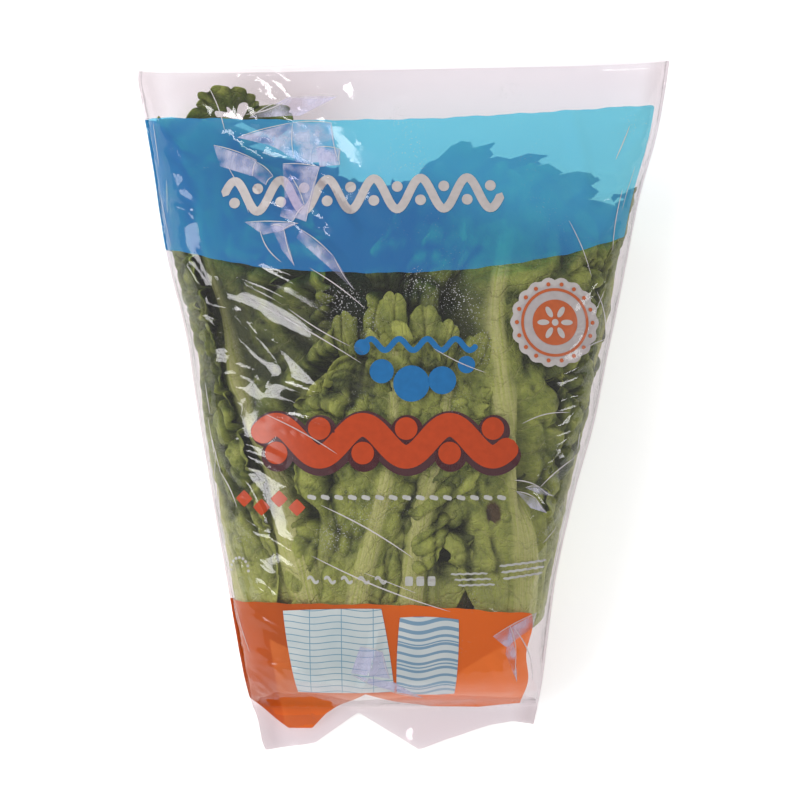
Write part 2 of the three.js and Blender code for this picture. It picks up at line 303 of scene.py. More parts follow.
# By the number of the leaf: how far it sways round the axis in turns, how much wider and how many mm longer
# it is than the rule says, how far out it is pressed, how light its green is and how many mm its tip is cut
# into lobes.
SWAY = {0: -0.055, 2: 0.075, 3: 0.08, 4: 0.05, 5: -0.04, 6: -0.05, 8: 0.0755}
WIDER = {1: 1.1, 3: 1.12, 8: 1.2, 12: 0.82}
LONGER = {0: -84, 1: -22, 2: -10, 3: 22, 5: -10, 6: 6, 7: -20, 8: 20, 9: -14, 12: -4, 13: -16, 14: -26}
PRESSED = {0: 0.03, 1: 0.05, 2: 0.08, 3: 0.14, 4: 0.13, 5: 0.09, 6: 0.13, 7: 0.22, 8: 0.18, 10: 0.06, 11: 0.1}
TONE = {0: 0.75, 1: 0.4, 2: 0.55, 3: 0.35, 4: 0.4, 5: 0.2, 7: 0.5, 8: 0.3}
DEEP_LOBES = {0: 11.0, 5: 4.0}


def root_share(y, turn):
    """Share of the radius at which a leaf rooted at y clears the stem by 1 mm."""
    dx, dz = head_section(y, turn)
    surface = 1 / np.hypot(dx / stem_radius(y), dz / (STEM_FLATNESS * stem_radius(y)))
    return (surface + 1 / np.hypot(dx, dz)) / swell(turn, y)


def outer_leaf(i):
    """The i-th leaf from the outside: each stands a golden turn on, one layer further in and a bit higher."""
    root = STEM_WIDEST_Y + ROOT_STEP * i
    return dict(
        seed=i,
        root=root,
        turn=FIRST_TURN + GOLDEN_TURN * i,
        root_share=lambda turn: root_share(root, turn),
        share=0.985 - LAYER_STEP * i + PRESSED.get(i, 0),
        sway=SWAY.get(i, 0.03 * (vary(i, 8) - 0.5)),
        lobes=DEEP_LOBES.get(i, 0),
        tone=TONE.get(i, 0.1),
        length=LEAF_LENGTH * (0.93 + 0.14 * vary(i, 1)) - ROOT_STEP * i + LONGER.get(i, 0),
        half_width=LEAF_HALF_WIDTH * (0.92 + 0.16 * vary(i, 2)) * (1 - 0.012 * i) * WIDER.get(i, 1),
        rib=10.5 - 0.3 * i,
    )


def heart_leaf(i):
    """The i-th small leaf of the heart, rooted on the core: shorter and narrower the further in it lies."""
    return dict(
        seed=OUTER_LEAVES + i,
        root=STEM_TOP_Y + 3 + 1.2 * i,
        turn=FIRST_TURN + GOLDEN_TURN * (OUTER_LEAVES + i),
        root_share=lambda turn: 0.06,
        share=0.38 - 0.03 * i,
        sway=0,
        lobes=0,
        tone=0.8,
        length=205 * (1 - 0.045 * i),
        half_width=34 * (1 - 0.05 * i),
        rib=5.0 - 0.3 * i,
    )


lengths = [outer_leaf(i)["length"] for i in range(OUTER_LEAVES)]
print("outer leaves:", round(min(lengths)), "to", round(max(lengths)), "mm long")

# %% [markdown]
# The blade between the veins is crumpled like paper that was balled up and opened again: puffed cells with
# sharp valleys between them. Noise would only give soft dents. A folded sine, 1 - |sin|, has a sharp line in
# each half wave, so six of them in different sizes and directions make the crumples. Longer folds run along
# the leaf, and short pleats follow the side veins to the edge.

# %% Crumples and folds of a blade
LENGTHWISE_FOLDS = ((27, 6), (14.5, 3.5))  # pitch and depth
VEIN_SLANT = 0.95  # how far a side vein climbs for each mm that it goes outwards
VEIN_PLEAT_PITCH, VEIN_PLEAT_DEPTH = 8.7, 2.6


def creases(along, across, seed):
    """Depth of the sharp valleys in a crumpled blade.

    For each of six pitches, pitch / 8 (1 - |sin(pi run / pitch)|)^3 along a direction of its own, where a
    slower wave lets it.
    """
    depth = 0
    for j, pitch in enumerate((9, 12, 16, 21, 27, 34)):
        angle = TAU * vary(seed, 20 + j)
        run = along * np.cos(angle) + across * np.sin(angle) + pitch * vary(seed, 40 + j)
        run = run + 0.35 * pitch * np.sin(along / 11 + across / 7 + TAU * vary(seed, 30 + j))
        cross = (along * np.sin(angle) - across * np.cos(angle)) / (0.55 * pitch)
        slow = np.sin(cross + TAU * vary(seed, 50 + j))
        line = (1 - np.abs(np.sin(np.pi * run / pitch))) ** 3
        depth = depth + pitch / 8 * line * smoothstep(-0.4, 0.5, slow)
    return depth


def valleys(s, w, along, plain, vein, phase, seed):
    """Depth of all valleys of a blade: its crumples, the folds along it and the pleats beside its side veins.

    A fold is depth (1 - |sin(pi plain / pitch + wander)|)^4. All valleys fade out at the root and on the rib.
    """
    edge = np.abs(w)
    valley = creases(along, plain, seed)
    for pitch, depth in LENGTHWISE_FOLDS:
        wander = 0.9 * np.sin(along / 29 + phase + pitch) + 0.5 * np.sin(along / 12 + 2 * phase)
        fold = np.abs(np.sin(np.pi * plain / pitch + wander + TAU * vary(seed, 6)))
        valley = valley + depth * (1 - fold) ** 4 * smoothstep(0.15, 0.45, edge)
    fold = np.abs(np.sin(np.pi * vein / VEIN_PLEAT_PITCH + 0.8 * np.sin(plain / 9 + phase) + phase))
    valley = valley + VEIN_PLEAT_DEPTH * (1 - fold) ** 2.5 * smoothstep(0.3, 0.9, edge)
    return valley * smoothstep(0.08, 0.35, s) * (0.25 + 0.75 * smoothstep(0, 0.35, edge))


trial = np.meshgrid(np.linspace(0, 90, 90), np.linspace(-50, 50, 100))
print("crumples: up to", round(float(creases(*trial, 3).max()), 1), "mm deep")

# %% [markdown]
# The edge is where endive gets its name for curls. Slow waves lift the rim and slide it along itself, which
# folds it over in lobes; quicker waves make the frill, and teeth stand out of the rim. The film is close, so
# no wave reaches past it, and the lobes flatten where they would. In a few loose places the film holds
# nothing down, and the leaves lie deeper there: these are the dark gaps between bright ones, and their
# leaves are also painted darker, as shade.

# %% Ruffled edge
LOBE_PITCH, LOBE_LIFT, LOBE_SLIDE, LOBE_REACH = 25.0, 6.5, 2.6, 8.0
FRILL_PITCH, FRILL_LIFT = 9.5, 2.6
TOOTH_PITCH, TOOTH_REACH = 5.6, 1.7
FINGER_PITCH = 17.0


def ruffles(leaf, s, vein, phase, tip, out):
    """How far the ruffled edge is grown, lifted, slid along itself and stuck out, for each point of a blade.

    The rim is lifted by LOBE_LIFT out^1.8 sin(p) and slid by LOBE_SLIDE out^1.8 cos(p), where p grows by about
    a turn each LOBE_PITCH of rim; the frill lifts it again at a shorter pitch. Lobes, teeth and the fingers of
    a divided tip stand out by |sin|^0.6 of their own pitches.
    """
    grown = smoothstep(0.1, 0.42, s) * (leaf["half_width"] / 52)
    lobe = TAU * vein / LOBE_PITCH + phase
    lobe = lobe + 1.2 * np.sin(TAU * vein / 83 + 2 * phase) + 0.8 * np.sin(TAU * vein / 47 + 5 * phase)
    frill = TAU * vein / FRILL_PITCH + 3 * phase + 1.6 * np.sin(lobe)
    lift = grown * (LOBE_LIFT * out**1.8 * np.sin(lobe) + FRILL_LIFT * out**3 * np.sin(frill))
    slide = -grown * LOBE_SLIDE * out**1.8 * np.cos(lobe) * (1 - 0.7 * tip)
    tooth = np.abs(np.sin(np.pi * vein / TOOTH_PITCH + phase)) ** 0.6 - 0.7
    finger = leaf["lobes"] * tip * (np.abs(np.sin(np.pi * vein / FINGER_PITCH + 0.6)) ** 0.6 - 0.75)
    rounded_lobe = np.abs(np.sin(lobe / 2 + 0.6)) ** 0.6 - 0.78
    stick = out**4 * grown * (LOBE_REACH * rounded_lobe + TOOTH_REACH * tooth + finger)
    return grown, lift, slide, stick


print("lobes along one edge: about", round(LEAF_LENGTH / LOBE_PITCH))

# %% [markdown]
# Now a blade can be put together. Bending a flat grid with modifiers would let neighbours cut through each
# other. So each point is placed in the head's own terms: how far along it lies, how far round the axis, and at
# what share of the head's radius. Its layer, the ruffles, the film and its valleys then only change that share,
# and the layers stay in order. Each point also stores what the material needs: rib, foot, bruise, and how
# much painted shade it gets for lying deep.

# %% One leaf
BLADE = 0.5  # thickness of a blade
RIB_PROUD = 0.32  # how far a rib stands out, as a share of its half width
FILM_GIVE = 0.012  # how softly a leaf bends away from the film, as a share of the radius
BRUISED_LEAF, BRUISE_X, BRUISE_Y = 2, 47, -56
# Loose places, where all leaves but the outermost one lie deeper: x, y, their half sizes and how deep.
HOLLOWS = np.array(
    [(38, 52, 11, 21, 25), (-88, 18, 4, 26, 8), (-58, 62, 7, 14, 12), (-52, -50, 4, 26, 9),
     (22, -72, 4, 22, 8), (64, -30, 4, 34, 9), (2, 56, 20, 18, 16), (92, 20, 4, 26, 7)], float
)


def leaf_wall(leaf, rows, columns):
    """Outer and inner grid of a leaf, and its attributes.

    s runs from root to tip and w from edge to edge; out is 0 at the rib and 1 at the rim, round the tip too.
    Each point has a y, a turn round the axis and a share of the radius there. Ruffles lift it, the film and
    the hollows push it in, and its valleys sink it along the normal of the head's section. The rib is a
    rounded ridge with a groove on either side.
    """
    s = np.linspace(0, 1, rows)[:, None]
    w = np.sin(np.linspace(-1, 1, columns) * 1.3)[None, :] / np.sin(1.3)
    seed, length, half_width = leaf["seed"], leaf["length"], leaf["half_width"]
    along = s * length
    tip = np.clip(1 - (1 - s) * length / half_width, 0, 1)
    out = np.minimum((np.abs(w) ** 5 + tip**5) ** 0.2, 1)
    sideways = np.abs(w) ** 4 / (np.abs(w) ** 4 + tip**4 + 1e-6)
    plain = w * half_width * leaf_outline(s)
    vein = along - VEIN_SLANT * np.abs(plain)
    phase = TAU * (vary(seed, 3) + smoothstep(-0.3, 0.3, w) * vary(seed, 4))
    grown, lift, slide, stick = ruffles(leaf, s, vein, phase, tip, out)
    lift = lift + 1.6 * np.sin(along / 17 + 3 * w + phase) * smoothstep(0.1, 0.4, s)
    across = plain + np.sign(w) * (stick * sideways - slide * (1 - sideways) * 0.6)
    valley = valleys(s, w, along, plain, vein, phase, seed)

    # Where the point lies in the head: its y, its turn and its share of the radius.
    rounded = length * s * (1 - 0.04 * w**2 - 0.13 * w**4 * s**6)
    y = leaf["root"] + rounded + slide * sideways + stick * (1 - sideways)
    spread = smoothstep(0, 0.14, s)
    base = leaf["root_share"](leaf["turn"]) * (1 - spread) + leaf["share"] * spread
    turn = leaf["turn"] + leaf["sway"] * smoothstep(0.08, 0.7, s) - across / (girth(y) * base)
    share = leaf["root_share"](turn) * (1 - spread) + (leaf["share"] - 0.03 * grown) * spread
    dx, dz = head_section(y, turn)
    reach = np.hypot(dx, dz)
    nx, nz = head_normal(y, dx, dz)
    square = (dx * nx + dz * nz) / reach
    scale = share * swell(turn, y) + lift / (reach * np.maximum(square, 0.6))

    # The film and the rib leave it so much room; a softened minimum keeps it inside.
    rib_half = leaf["rib"] * (1 - s) ** 1.15 + 0.8
    rib = np.clip(1 - (np.abs(across) / rib_half) ** 2, 0, 1)
    proud = RIB_PROUD * rib_half * rib**0.7
    room = 1.0 - (0.3 + proud) / (reach * square)
    for x0, y0, half_x, half_y, depth in HOLLOWS if seed else ():
        near = np.exp(-(((axis_x(y) + dx * scale - x0) / half_x) ** 2) - ((y - y0) / half_y) ** 2)
        scale = scale - depth / reach * near * (dz > 0)
    scale = np.maximum(room - np.logaddexp(0, (room - scale) / FILM_GIVE) * FILM_GIVE, 0.04)
    groove = 2.8 * np.exp(-(((np.abs(across) - rib_half - 1.5) / 1.2) ** 2))
    groove = groove * smoothstep(0.05, 0.2, s) * (1 - s)
    sunk = np.minimum(valley + groove, 0.6 * scale * reach)
    x = axis_x(y) + dx * scale - nx * sunk
    middle = np.stack([x, y + 0 * scale, axis_height(y) + dz * scale - nz * sunk], -1)

    normal = grid_normals(middle)
    outer = middle + normal * (BLADE / 2 + proud)[..., None]
    inner = middle - normal * (BLADE / 2)
    # Painted shade: deep darkens what lies below the film's reach and in the valleys, and the tone is painted
    # darker by 0.12 for each mm of valley. The tone is also paler at the rim and the foot.
    below = (room - scale) * reach * square + sunk
    in_shade = np.clip(smoothstep(1.5, 15, below) + 0.5 * smoothstep(1.0, 3.6, valley), 0, 1)
    paler = 0.35 * smoothstep(0.75, 1, out) + 0.4 * (1 - smoothstep(0.12, 0.5, s)) - 0.12 * valley
    bruised = np.exp(-(((x - BRUISE_X) / 5) ** 2) - ((y - BRUISE_Y) / 8) ** 2)
    attributes = dict(
        rib=smoothstep(0, 0.4, rib),
        pale=(1 - smoothstep(0.02, 0.42, s)) * (1 - 0.6 * np.abs(w)),
        tone=np.clip(leaf["tone"] + paler, 0, 1),
        deep=in_shade * (1 - smoothstep(145, 165, y)),
        bruise=bruised * (seed == BRUISED_LEAF),
        along=along + 9 * seed,
        across=across,
    )
    return outer, inner, attributes


trial = leaf_wall(outer_leaf(0), 40, 16)[0]
print("outermost leaf:", np.round(np.ptp(trial.reshape(-1, 3), axis=0)), "mm")

# %% [markdown]
# The end of the outermost leaf is divided into lobes that stand up as a group in the middle of the head.
# Cutting them into the rim of one grid would stretch its faces, so each lobe is a small fan of its own,
# rooted in the blade, with a fold down its middle and a toothed rim. They overlap, and none touches the film.

# %% Standing lobes
# Foot x, y, end x, y, width, and depth below the film.
LOBES = np.array(
    [(-26, 16, -34, 50, 14, 3), (-13, 26, -15, 54, 15, 1.5), (-4, 26, -5, 61, 15.5, 0), (7, 20, 11, 54, 18, 1),
     (15, 14, 26, 45, 15, 0), (25, 6, 41, 39, 18, 1), (29, -14, 47, 8, 14, 1)], float
)
LOBE_CLEARANCE = 1.6


def standing_lobe(number, rows=36, columns=25):
    """Lobe of a divided leaf: a fan from foot to end with a toothed rim, cupped over its middle fold.

    Its half width grows as 0.35 + 0.95 s up to its shoulders; its rim lies at 1 - 0.16 w^2 of its length, with
    teeth.
    """
    x0, y0, x1, y1, width, depth = LOBES[number]
    s = np.linspace(0, 1, rows)[:, None]
    w = np.linspace(-1, 1, columns)[None, :]
    run = np.hypot(x1 - x0, y1 - y0)
    ux, uy = (x1 - x0) / run, (y1 - y0) / run
    phase = TAU * vary(number, 7)
    tooth = np.abs(np.sin(3.6 * w + phase)) ** 0.6 - 0.6
    along = s * run * (1 - 0.16 * w**2 + 0.07 * s**3 * tooth)
    half = width / 2 * np.minimum(0.35 + 0.95 * s, 1.06 - 0.1 * s)
    across = -w * half * (1 + 0.06 * np.sin(7 * s + phase)) + 2.2 * np.sin(2.6 * s + phase) * s
    x, y = x0 + along * ux - across * uy, y0 + along * uy + across * ux
    crumple = (1 - np.abs(np.sin(2.4 * w + 0.5 * np.sin(4 * s + phase) + phase))) ** 5
    fold = np.exp(-((w / 0.09) ** 2))
    sunk = 5 * (1 - s) ** 2 + 2.6 * w**4 + 1.8 * crumple * smoothstep(0, 0.3, s) + 0.9 * fold + depth
    waved = 0.9 * np.sin(9 * s + 2.5 * w + phase) * np.abs(w)
    middle = np.stack([x, y, head_top(x, y) - LOBE_CLEARANCE - sunk - waved], -1)
    half_wall = grid_normals(middle) * BLADE / 2
    none = np.zeros_like(x)
    # Painted light and shade: the tone is lighter towards the raised end and darker at the sunk sides, and deep
    # darkens the foot, the crumples, the sides and the deeper lobes.
    flat = dict(
        rib=0.35 * fold,
        pale=none,
        tone=0.42 + 0.3 * s - 0.1 * w**2,
        deep=np.clip(0.75 * (1 - smoothstep(0, 0.45, s)) + 0.5 * crumple + 0.3 * w**6 + 0.06 * depth, 0, 1),
        bruise=none,
        along=along + 9 * number,
        across=across,
    )
    return middle + half_wall, middle - half_wall, flat


print("standing lobes:", len(LOBES))

# %% [markdown]
# One leaf reaches out of the head at the upper left and curls round there. Seen from above, its end is a
# ruffled ring that doesn't quite close. A ring of this kind is simplest in polar form: one curve gives the
# rim and another the ragged opening, and the waves of the rim are added to both height and angle.

# %% Curled tip
TIP_CENTRE, TIP_REACH = (-93, 159), (28, 20)
# Rim and opening, as shares of TIP_REACH, by the angle in degrees.
tip_rim = curve(
    (-36, 1), (0, 1.06), (17, 1.08), (32, 0.62), (45, 0.58), (80, 0.8), (111, 0.96), (140, 1), (152, 0.86),
    (182, 0.97), (216, 1),
)
tip_opening = curve(
    (-36, 0.1), (20, 0.12), (45, 0.22), (66, 0.5), (86, 0.44), (101, 0.1), (118, 0.42), (134, 0.3), (152, 0.5),
    (182, 0.34), (216, 0.46),
)


def curled_tip(rows=28, columns=150):
    """Ruffled end of a leaf that stands out of the head: an open ring, from its opening to its rim.

    Towards the rim it is lifted by 3 sin(fold) and 1.7 sin(frill), and swung back along the ring by their
    cosines.
    """
    v = np.linspace(0, 1, rows)[:, None]
    degrees = np.linspace(216, -36, columns)[None, :]
    angle = np.radians(degrees)
    fold = 5.2 * angle + 1.2 * np.sin(2 * angle)
    frill = 17 * angle + 1.5 * np.sin(fold)
    reach = tip_opening(degrees) + (tip_rim(degrees) - tip_opening(degrees)) * v
    reach = reach * (1 + 0.05 * v**2 * np.sin(frill) + 0.015 * v**3 * np.sin(2.3 * frill))
    swung = angle - 0.06 * v**2 * np.cos(fold) - 0.045 * v**2 * np.cos(frill)
    x = TIP_CENTRE[0] + TIP_REACH[0] * reach * np.cos(swung)
    y = TIP_CENTRE[1] + TIP_REACH[1] * reach * np.sin(swung)
    z = 18 + 5 * v + 3 * v * np.sin(fold) + 1.7 * v**1.5 * np.sin(frill) + 0.8 * np.sin(5 * v + 3 * angle)
    middle = np.stack([x, y, z], -1)
    half_wall = grid_normals(middle) * BLADE / 2
    none = np.zeros_like(x)
    # Painted light and shade: the tone is lighter towards the raised rim and on the crests of the frill, and
    # deep darkens the troughs of frill and fold.
    flat = dict(
        rib=none,
        pale=none,
        tone=0.3 + 0.25 * v + 0.2 * v * np.sin(frill) + none,
        deep=np.clip(0.35 - 0.35 * np.sin(frill) * v - 0.2 * np.sin(fold) * v, 0, 1) + none,
        bruise=none,
        along=28 * angle + none,
        across=20 * v + none,
    )
    return middle + half_wall, middle - half_wall, flat


print("curled tip:", np.round(np.ptp(curled_tip()[0].reshape(-1, 3), axis=0)), "mm")

# %% [markdown]
# Endive blades are thin and waxy. Real greens differ from patch to patch, so three of them are mixed by a
# noise with patches of about 33 mm, and the eye reads that as a living blade and not as paint. Pale veins
# leave the rib at a slant; their places come from the distances along and across the leaf that each point
# stores, so they follow the blade through every ruffle. The ribs are pale and striped by fibres. What lies
# deep is painted a darker green, as shade: light that has passed through other leaves is dim and green.

# %% Veins, rib, bruise and relief
# The dark green is painted shade, for what lies deep in the head.
BRUISE_BROWN, PAINTED_SHADE_GREEN = "#4a2a22", "#182010"
VEIN_PITCH, VEIN_NET = 15.0, 3.6  # mm between side veins, and between the fine veins of the net


def vein_lines(tree, flat, across, along, streaks, patches):
    """1 on veins: side veins leave the rib forwards and wander, and a fine net lies between them."""
    aside = node(tree, "Math", {0: (across, "Fac")}, operation="ABSOLUTE")
    slant = node(tree, "Math", {0: aside, 1: -0.75, 2: (along, "Fac")}, operation="MULTIPLY_ADD")
    wander = node(tree, "Math", {0: streaks, 1: 11.0, 2: slant}, operation="MULTIPLY_ADD")
    wander = node(tree, "Math", {0: patches, 1: 16.0, 2: wander}, operation="MULTIPLY_ADD")
    saw = node(tree, "Math", {0: wander, 1: VEIN_PITCH / 2}, operation="PINGPONG")
    line = node(tree, "MapRange", {"Value": saw, "From Max": 0.9, "To Min": 1.0, "To Max": 0.0})
    net = node(tree, "TexVoronoi", {"Vector": flat, "Scale": 1 / VEIN_NET}, feature="DISTANCE_TO_EDGE")
    net_line = node(tree, "MapRange", {"Value": net, "From Max": 0.09, "To Min": 0.3, "To Max": 0.0})
    return net, node(tree, "Math", {0: line, 1: net_line}, operation="MAXIMUM")


def with_rib(tree, veined, flat, light, rib):
    """Colour with the rib and the foot of the leaf laid over it: pale, and striped lengthwise, like celery."""
    rib_part = node(tree, "Attribute", attribute_name="rib")
    pale = node(tree, "Attribute", attribute_name="pale")
    rib_share = node(tree, "Math", {0: (rib_part, "Fac"), 1: 0.85}, operation="MULTIPLY")
    pale_share = node(tree, "Math", {0: (pale, "Fac"), 1: 0.62}, operation="MULTIPLY")
    most = node(tree, "Math", {0: pale_share, 1: rib_share}, operation="MAXIMUM")
    lengthwise = node(tree, "Mapping", {"Vector": flat, "Scale": (1.1, 0.03, 1)})
    fibres = node(tree, "TexNoise", {"Vector": lengthwise, "Scale": 1.0, "Detail": 3})
    fibre_share = node(tree, "MapRange", {"Value": fibres, "From Min": 0.34, "From Max": 0.56})
    striped = node(tree, "Mix", {"Factor": fibre_share, 6: linear(light), 7: linear(rib)}, data_type="RGBA")
    return node(tree, "Mix", {"Factor": most, 6: (veined, 2), 7: (striped, 2)}, data_type="RGBA")


def with_bruise_and_painted_shade(tree, ribbed, streaks):
    """Colour with one brown bruise over it, and painted shade: the dark green of what lies deep between the
    others.
    """
    bruise = node(tree, "Attribute", attribute_name="bruise")
    spoilt = node(tree, "Math", {0: (bruise, "Fac"), 1: streaks}, operation="MULTIPLY")
    brown = node(tree, "MapRange", {"Value": spoilt, "From Min": 0.18, "From Max": 0.34, "To Max": 0.92})
    browned = node(tree, "Mix", {"Factor": brown, 6: (ribbed, 2), 7: linear(BRUISE_BROWN)}, data_type="RGBA")
    # Painted shade: the deep attribute mixes in the dark green.
    deep = node(tree, "Attribute", attribute_name="deep")
    share = node(tree, "Math", {0: (deep, "Fac"), 1: 0.86}, operation="MULTIPLY")
    return node(tree, "Mix", {"Factor": share, 6: (browned, 2), 7: linear(PAINTED_SHADE_GREEN)}, data_type="RGBA")


def blade_relief(tree, place, net, vein, ridge):
    """Puffed cells between sunk veins and crumples, under a grain that keeps the wax from looking wet."""
    grain = node(tree, "TexNoise", {"Vector": (place, "Object"), "Scale": each(1.6), "Detail": 3})
    puffed = node(tree, "Math", {0: net, 1: 1.0, 2: grain}, operation="MULTIPLY_ADD")
    puffed = node(tree, "Math", {0: vein, 1: -0.8, 2: puffed}, operation="MULTIPLY_ADD")
    relief = node(tree, "Math", {0: ridge, 1: -1.6, 2: puffed}, operation="MULTIPLY_ADD")
    return node(tree, "Bump", {"Strength": 0.85, "Distance": 0.0008, "Height": relief})


print("side veins every", VEIN_PITCH, "mm, and a net of", VEIN_NET, "mm between them")

# %% [markdown]
# The leaf material lays these over each other, as a painter would: patches of green, lighter streaks,
# crumples painted darker as shade, veins, rib, bruise, and last the painted shade of what lies deep. A waxy
# leaf is neither matt nor glossy, so its roughness is 0.5, and a little light comes back from inside the
# blade. Two sets of greens make the outer leaves and the heart.

# %% Leaf material
def leaf_material(name, dark, mid, light, rib):
    """Endive leaf: a thin waxy blade in patches of three greens, with pale veins that leave a pale rib."""
    material, tree = new_material(name)
    place = node(tree, "TexCoord")
    wide = {"Vector": (place, "Object"), "Scale": each(33), "Detail": 5, "Roughness": 0.6}
    patches = node(tree, "TexNoise", wide)
    share = node(tree, "MapRange", {"Value": patches, "From Min": 0.36, "From Max": 0.64})
    blade = node(tree, "Mix", {"Factor": share, 6: linear(dark), 7: linear(mid)}, data_type="RGBA")
    narrow = {"Vector": (place, "Object"), "Scale": each(10.5), "Detail": 4, "Roughness": 0.65}
    streaks = node(tree, "TexNoise", narrow)
    tone = node(tree, "Attribute", attribute_name="tone")
    lighter = node(tree, "Math", {0: (tone, "Fac"), 1: 0.34, 2: streaks}, operation="MULTIPLY_ADD")
    bright = node(tree, "MapRange", {"Value": lighter, "From Min": 0.5, "From Max": 0.95})
    lit = node(tree, "Mix", {"Factor": bright, 6: (blade, 2), 7: linear(light)}, data_type="RGBA")

    # Fine crumples, which give the light something to break on: a ridged noise whose largest ridges are about
    # 16 mm apart. Their lines are sunk, and painted darker as shade.
    crumpled = {"Vector": (place, "Object"), "Scale": each(16), "Detail": 4, "Roughness": 0.55}
    crumple = node(tree, "TexNoise", crumpled, noise_type="RIDGED_MULTIFRACTAL")
    ridge = node(tree, "MapRange", {"Value": crumple, "From Min": 0.62, "From Max": 0.98})
    crease_shade_share = node(tree, "Math", {0: ridge, 1: 0.4}, operation="MULTIPLY")
    lit = node(tree, "Mix", {"Factor": crease_shade_share, 6: (lit, 2), 7: linear(dark)}, data_type="RGBA")

    # Veins tell the eye how big a leaf is. They follow distances that the blade stores.
    across = node(tree, "Attribute", attribute_name="across")
    along = node(tree, "Attribute", attribute_name="along")
    flat = node(tree, "CombineXYZ", {"X": (across, "Fac"), "Y": (along, "Fac")})
    net, vein = vein_lines(tree, flat, across, along, streaks, patches)
    vein_share = node(tree, "Math", {0: vein, 1: 0.3}, operation="MULTIPLY")
    veined = node(tree, "Mix", {"Factor": vein_share, 6: (lit, 2), 7: linear(rib)}, data_type="RGBA")
    ribbed = with_rib(tree, veined, flat, light, rib)
    colour = with_bruise_and_painted_shade(tree, ribbed, streaks)
    surface = {
        "Base Color": (colour, 2),
        "Roughness": 0.5,
        "Specular IOR Level": 0.35,
        "Subsurface Weight": 0.06,
        "Subsurface Radius": (0.6, 1.0, 0.25),
        "Subsurface Scale": 0.002,
        "Normal": blade_relief(tree, place, net, vein, ridge),
    }
    node(tree, "OutputMaterial", {"Surface": node(tree, "BsdfPrincipled", surface)})
    return material


leaf_green = leaf_material("endive_leaf", "#4e5e20", "#738332", "#b4be57", "#cfd087")
leaf_pale = leaf_material("endive_heart_leaf", "#94a552", "#adb866", "#c6cc80", "#dcdcae")
print("materials:", leaf_green.name, leaf_pale.name)

# %% [markdown]
# Eighteen outer leaves come from the rule. The first nine show through the film, so their grids are finer.
# Each stands for the plain curved blade of the same number in the solid model, rides on the same body and
# takes the same finish. A short function says all of that, because every later piece needs it too.

# %% Outer leaves
SEEN_LEAVES = 9
SEEN_GRID, HIDDEN_GRID = (230, 50), (150, 30)
LOBED_LEAF, CURLED_LEAF = 0, 8


def place_piece(piece, material, slot, *replaced):
    """Give a piece its material and body, and hide the solid parts that it stands for."""
    piece.data.materials.append(material)
    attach(piece, "root")
    if replaced:
        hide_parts(*replaced)


for i in range(OUTER_LEAVES):
    label = f"leaf_{i + 1:02d}"
    walls = [leaf_wall(outer_leaf(i), *(SEEN_GRID if i < SEEN_LEAVES else HIDDEN_GRID))]
    if i == LOBED_LEAF:
        walls += [standing_lobe(number) for number in range(len(LOBES))]
    if i == CURLED_LEAF:
        walls.append(curled_tip())
    leaf_piece = join_walls("endive_" + label, walls)
    place_piece(leaf_piece, leaf_green, "leaf_green", label)
print("outer leaves:", OUTER_LEAVES)

# %% [markdown]
# The heart is the young leaves in the middle, paler because little light reaches them. They are the same
# leaf, smaller and rooted on the core. Ten of them are one piece, as they are one body at their feet.

# %% Heart
heart = join_walls("endive_heart", [leaf_wall(heart_leaf(i), 90, 20) for i in range(HEART_LEAVES)])
place_piece(heart, leaf_pale, "heart_pale", "heart")
print("heart faces:", len(heart.data.polygons))

# %% [markdown]
# The stem is cut off square below the leaves. It is a turned body, so it is a profile carried round the axis,
# but flatter than round, because it lies under the weight of the head. Its skin has shallow grooves where
# leaves were pulled off, and the cut face is a little dished. The cut is pale and matt, with brown stains
# where it has dried.

# %% Stem
import bmesh


def stem_grid(rows=60, columns=96):
    """Turned body along Y: radius stem_radius(y) with shallow grooves, closed by the cut face and the top."""
    y = np.concatenate([np.full(12, STEM_Y), np.linspace(STEM_Y, STEM_TOP_Y, rows), np.full(6, STEM_TOP_Y)])
    share = np.concatenate([np.linspace(0, 1, 12), np.ones(rows), np.linspace(1, 0, 6)])
    angle = np.linspace(0, TAU, columns, endpoint=False)[None, :]
    y, share = y[:, None], share[:, None]
    groove = 1 - 0.02 * share * (1 + np.sin(9 * angle + y / 6)) - 0.01 * np.sin(23 * angle + y / 3)
    radius = stem_radius(y) * share * groove
    x = axis_x(y) + radius * np.cos(angle)
    z = axis_height(y) + STEM_FLATNESS * radius * np.sin(angle)
    dished = y + 1.2 * np.exp(-((radius / 9) ** 2)) * (share < 1) * (y < STEM_WIDEST_Y)
    return np.stack([x, dished + 0 * x, z], -1)


def round_piece(name, points):
    """Closed piece from a grid whose columns go round and whose first and last rows are single points."""
    rows, columns = points.shape[:2]
    ids = np.arange(rows * columns).reshape(rows, columns)
    onward = np.roll(ids, -1, axis=1)
    quads = np.stack([ids[:-1], ids[1:], onward[1:], onward[:-1]], -1).reshape(-1, 4)
    piece = write_mesh(name, points.reshape(-1, 3), quads, {})
    shape = bmesh.new()
    shape.from_mesh(piece.data)
    bmesh.ops.remove_doubles(shape, verts=shape.verts, dist=1e-6)
    bmesh.ops.recalc_face_normals(shape, faces=shape.faces)
    shape.to_mesh(piece.data)
    shape.free()
    return piece


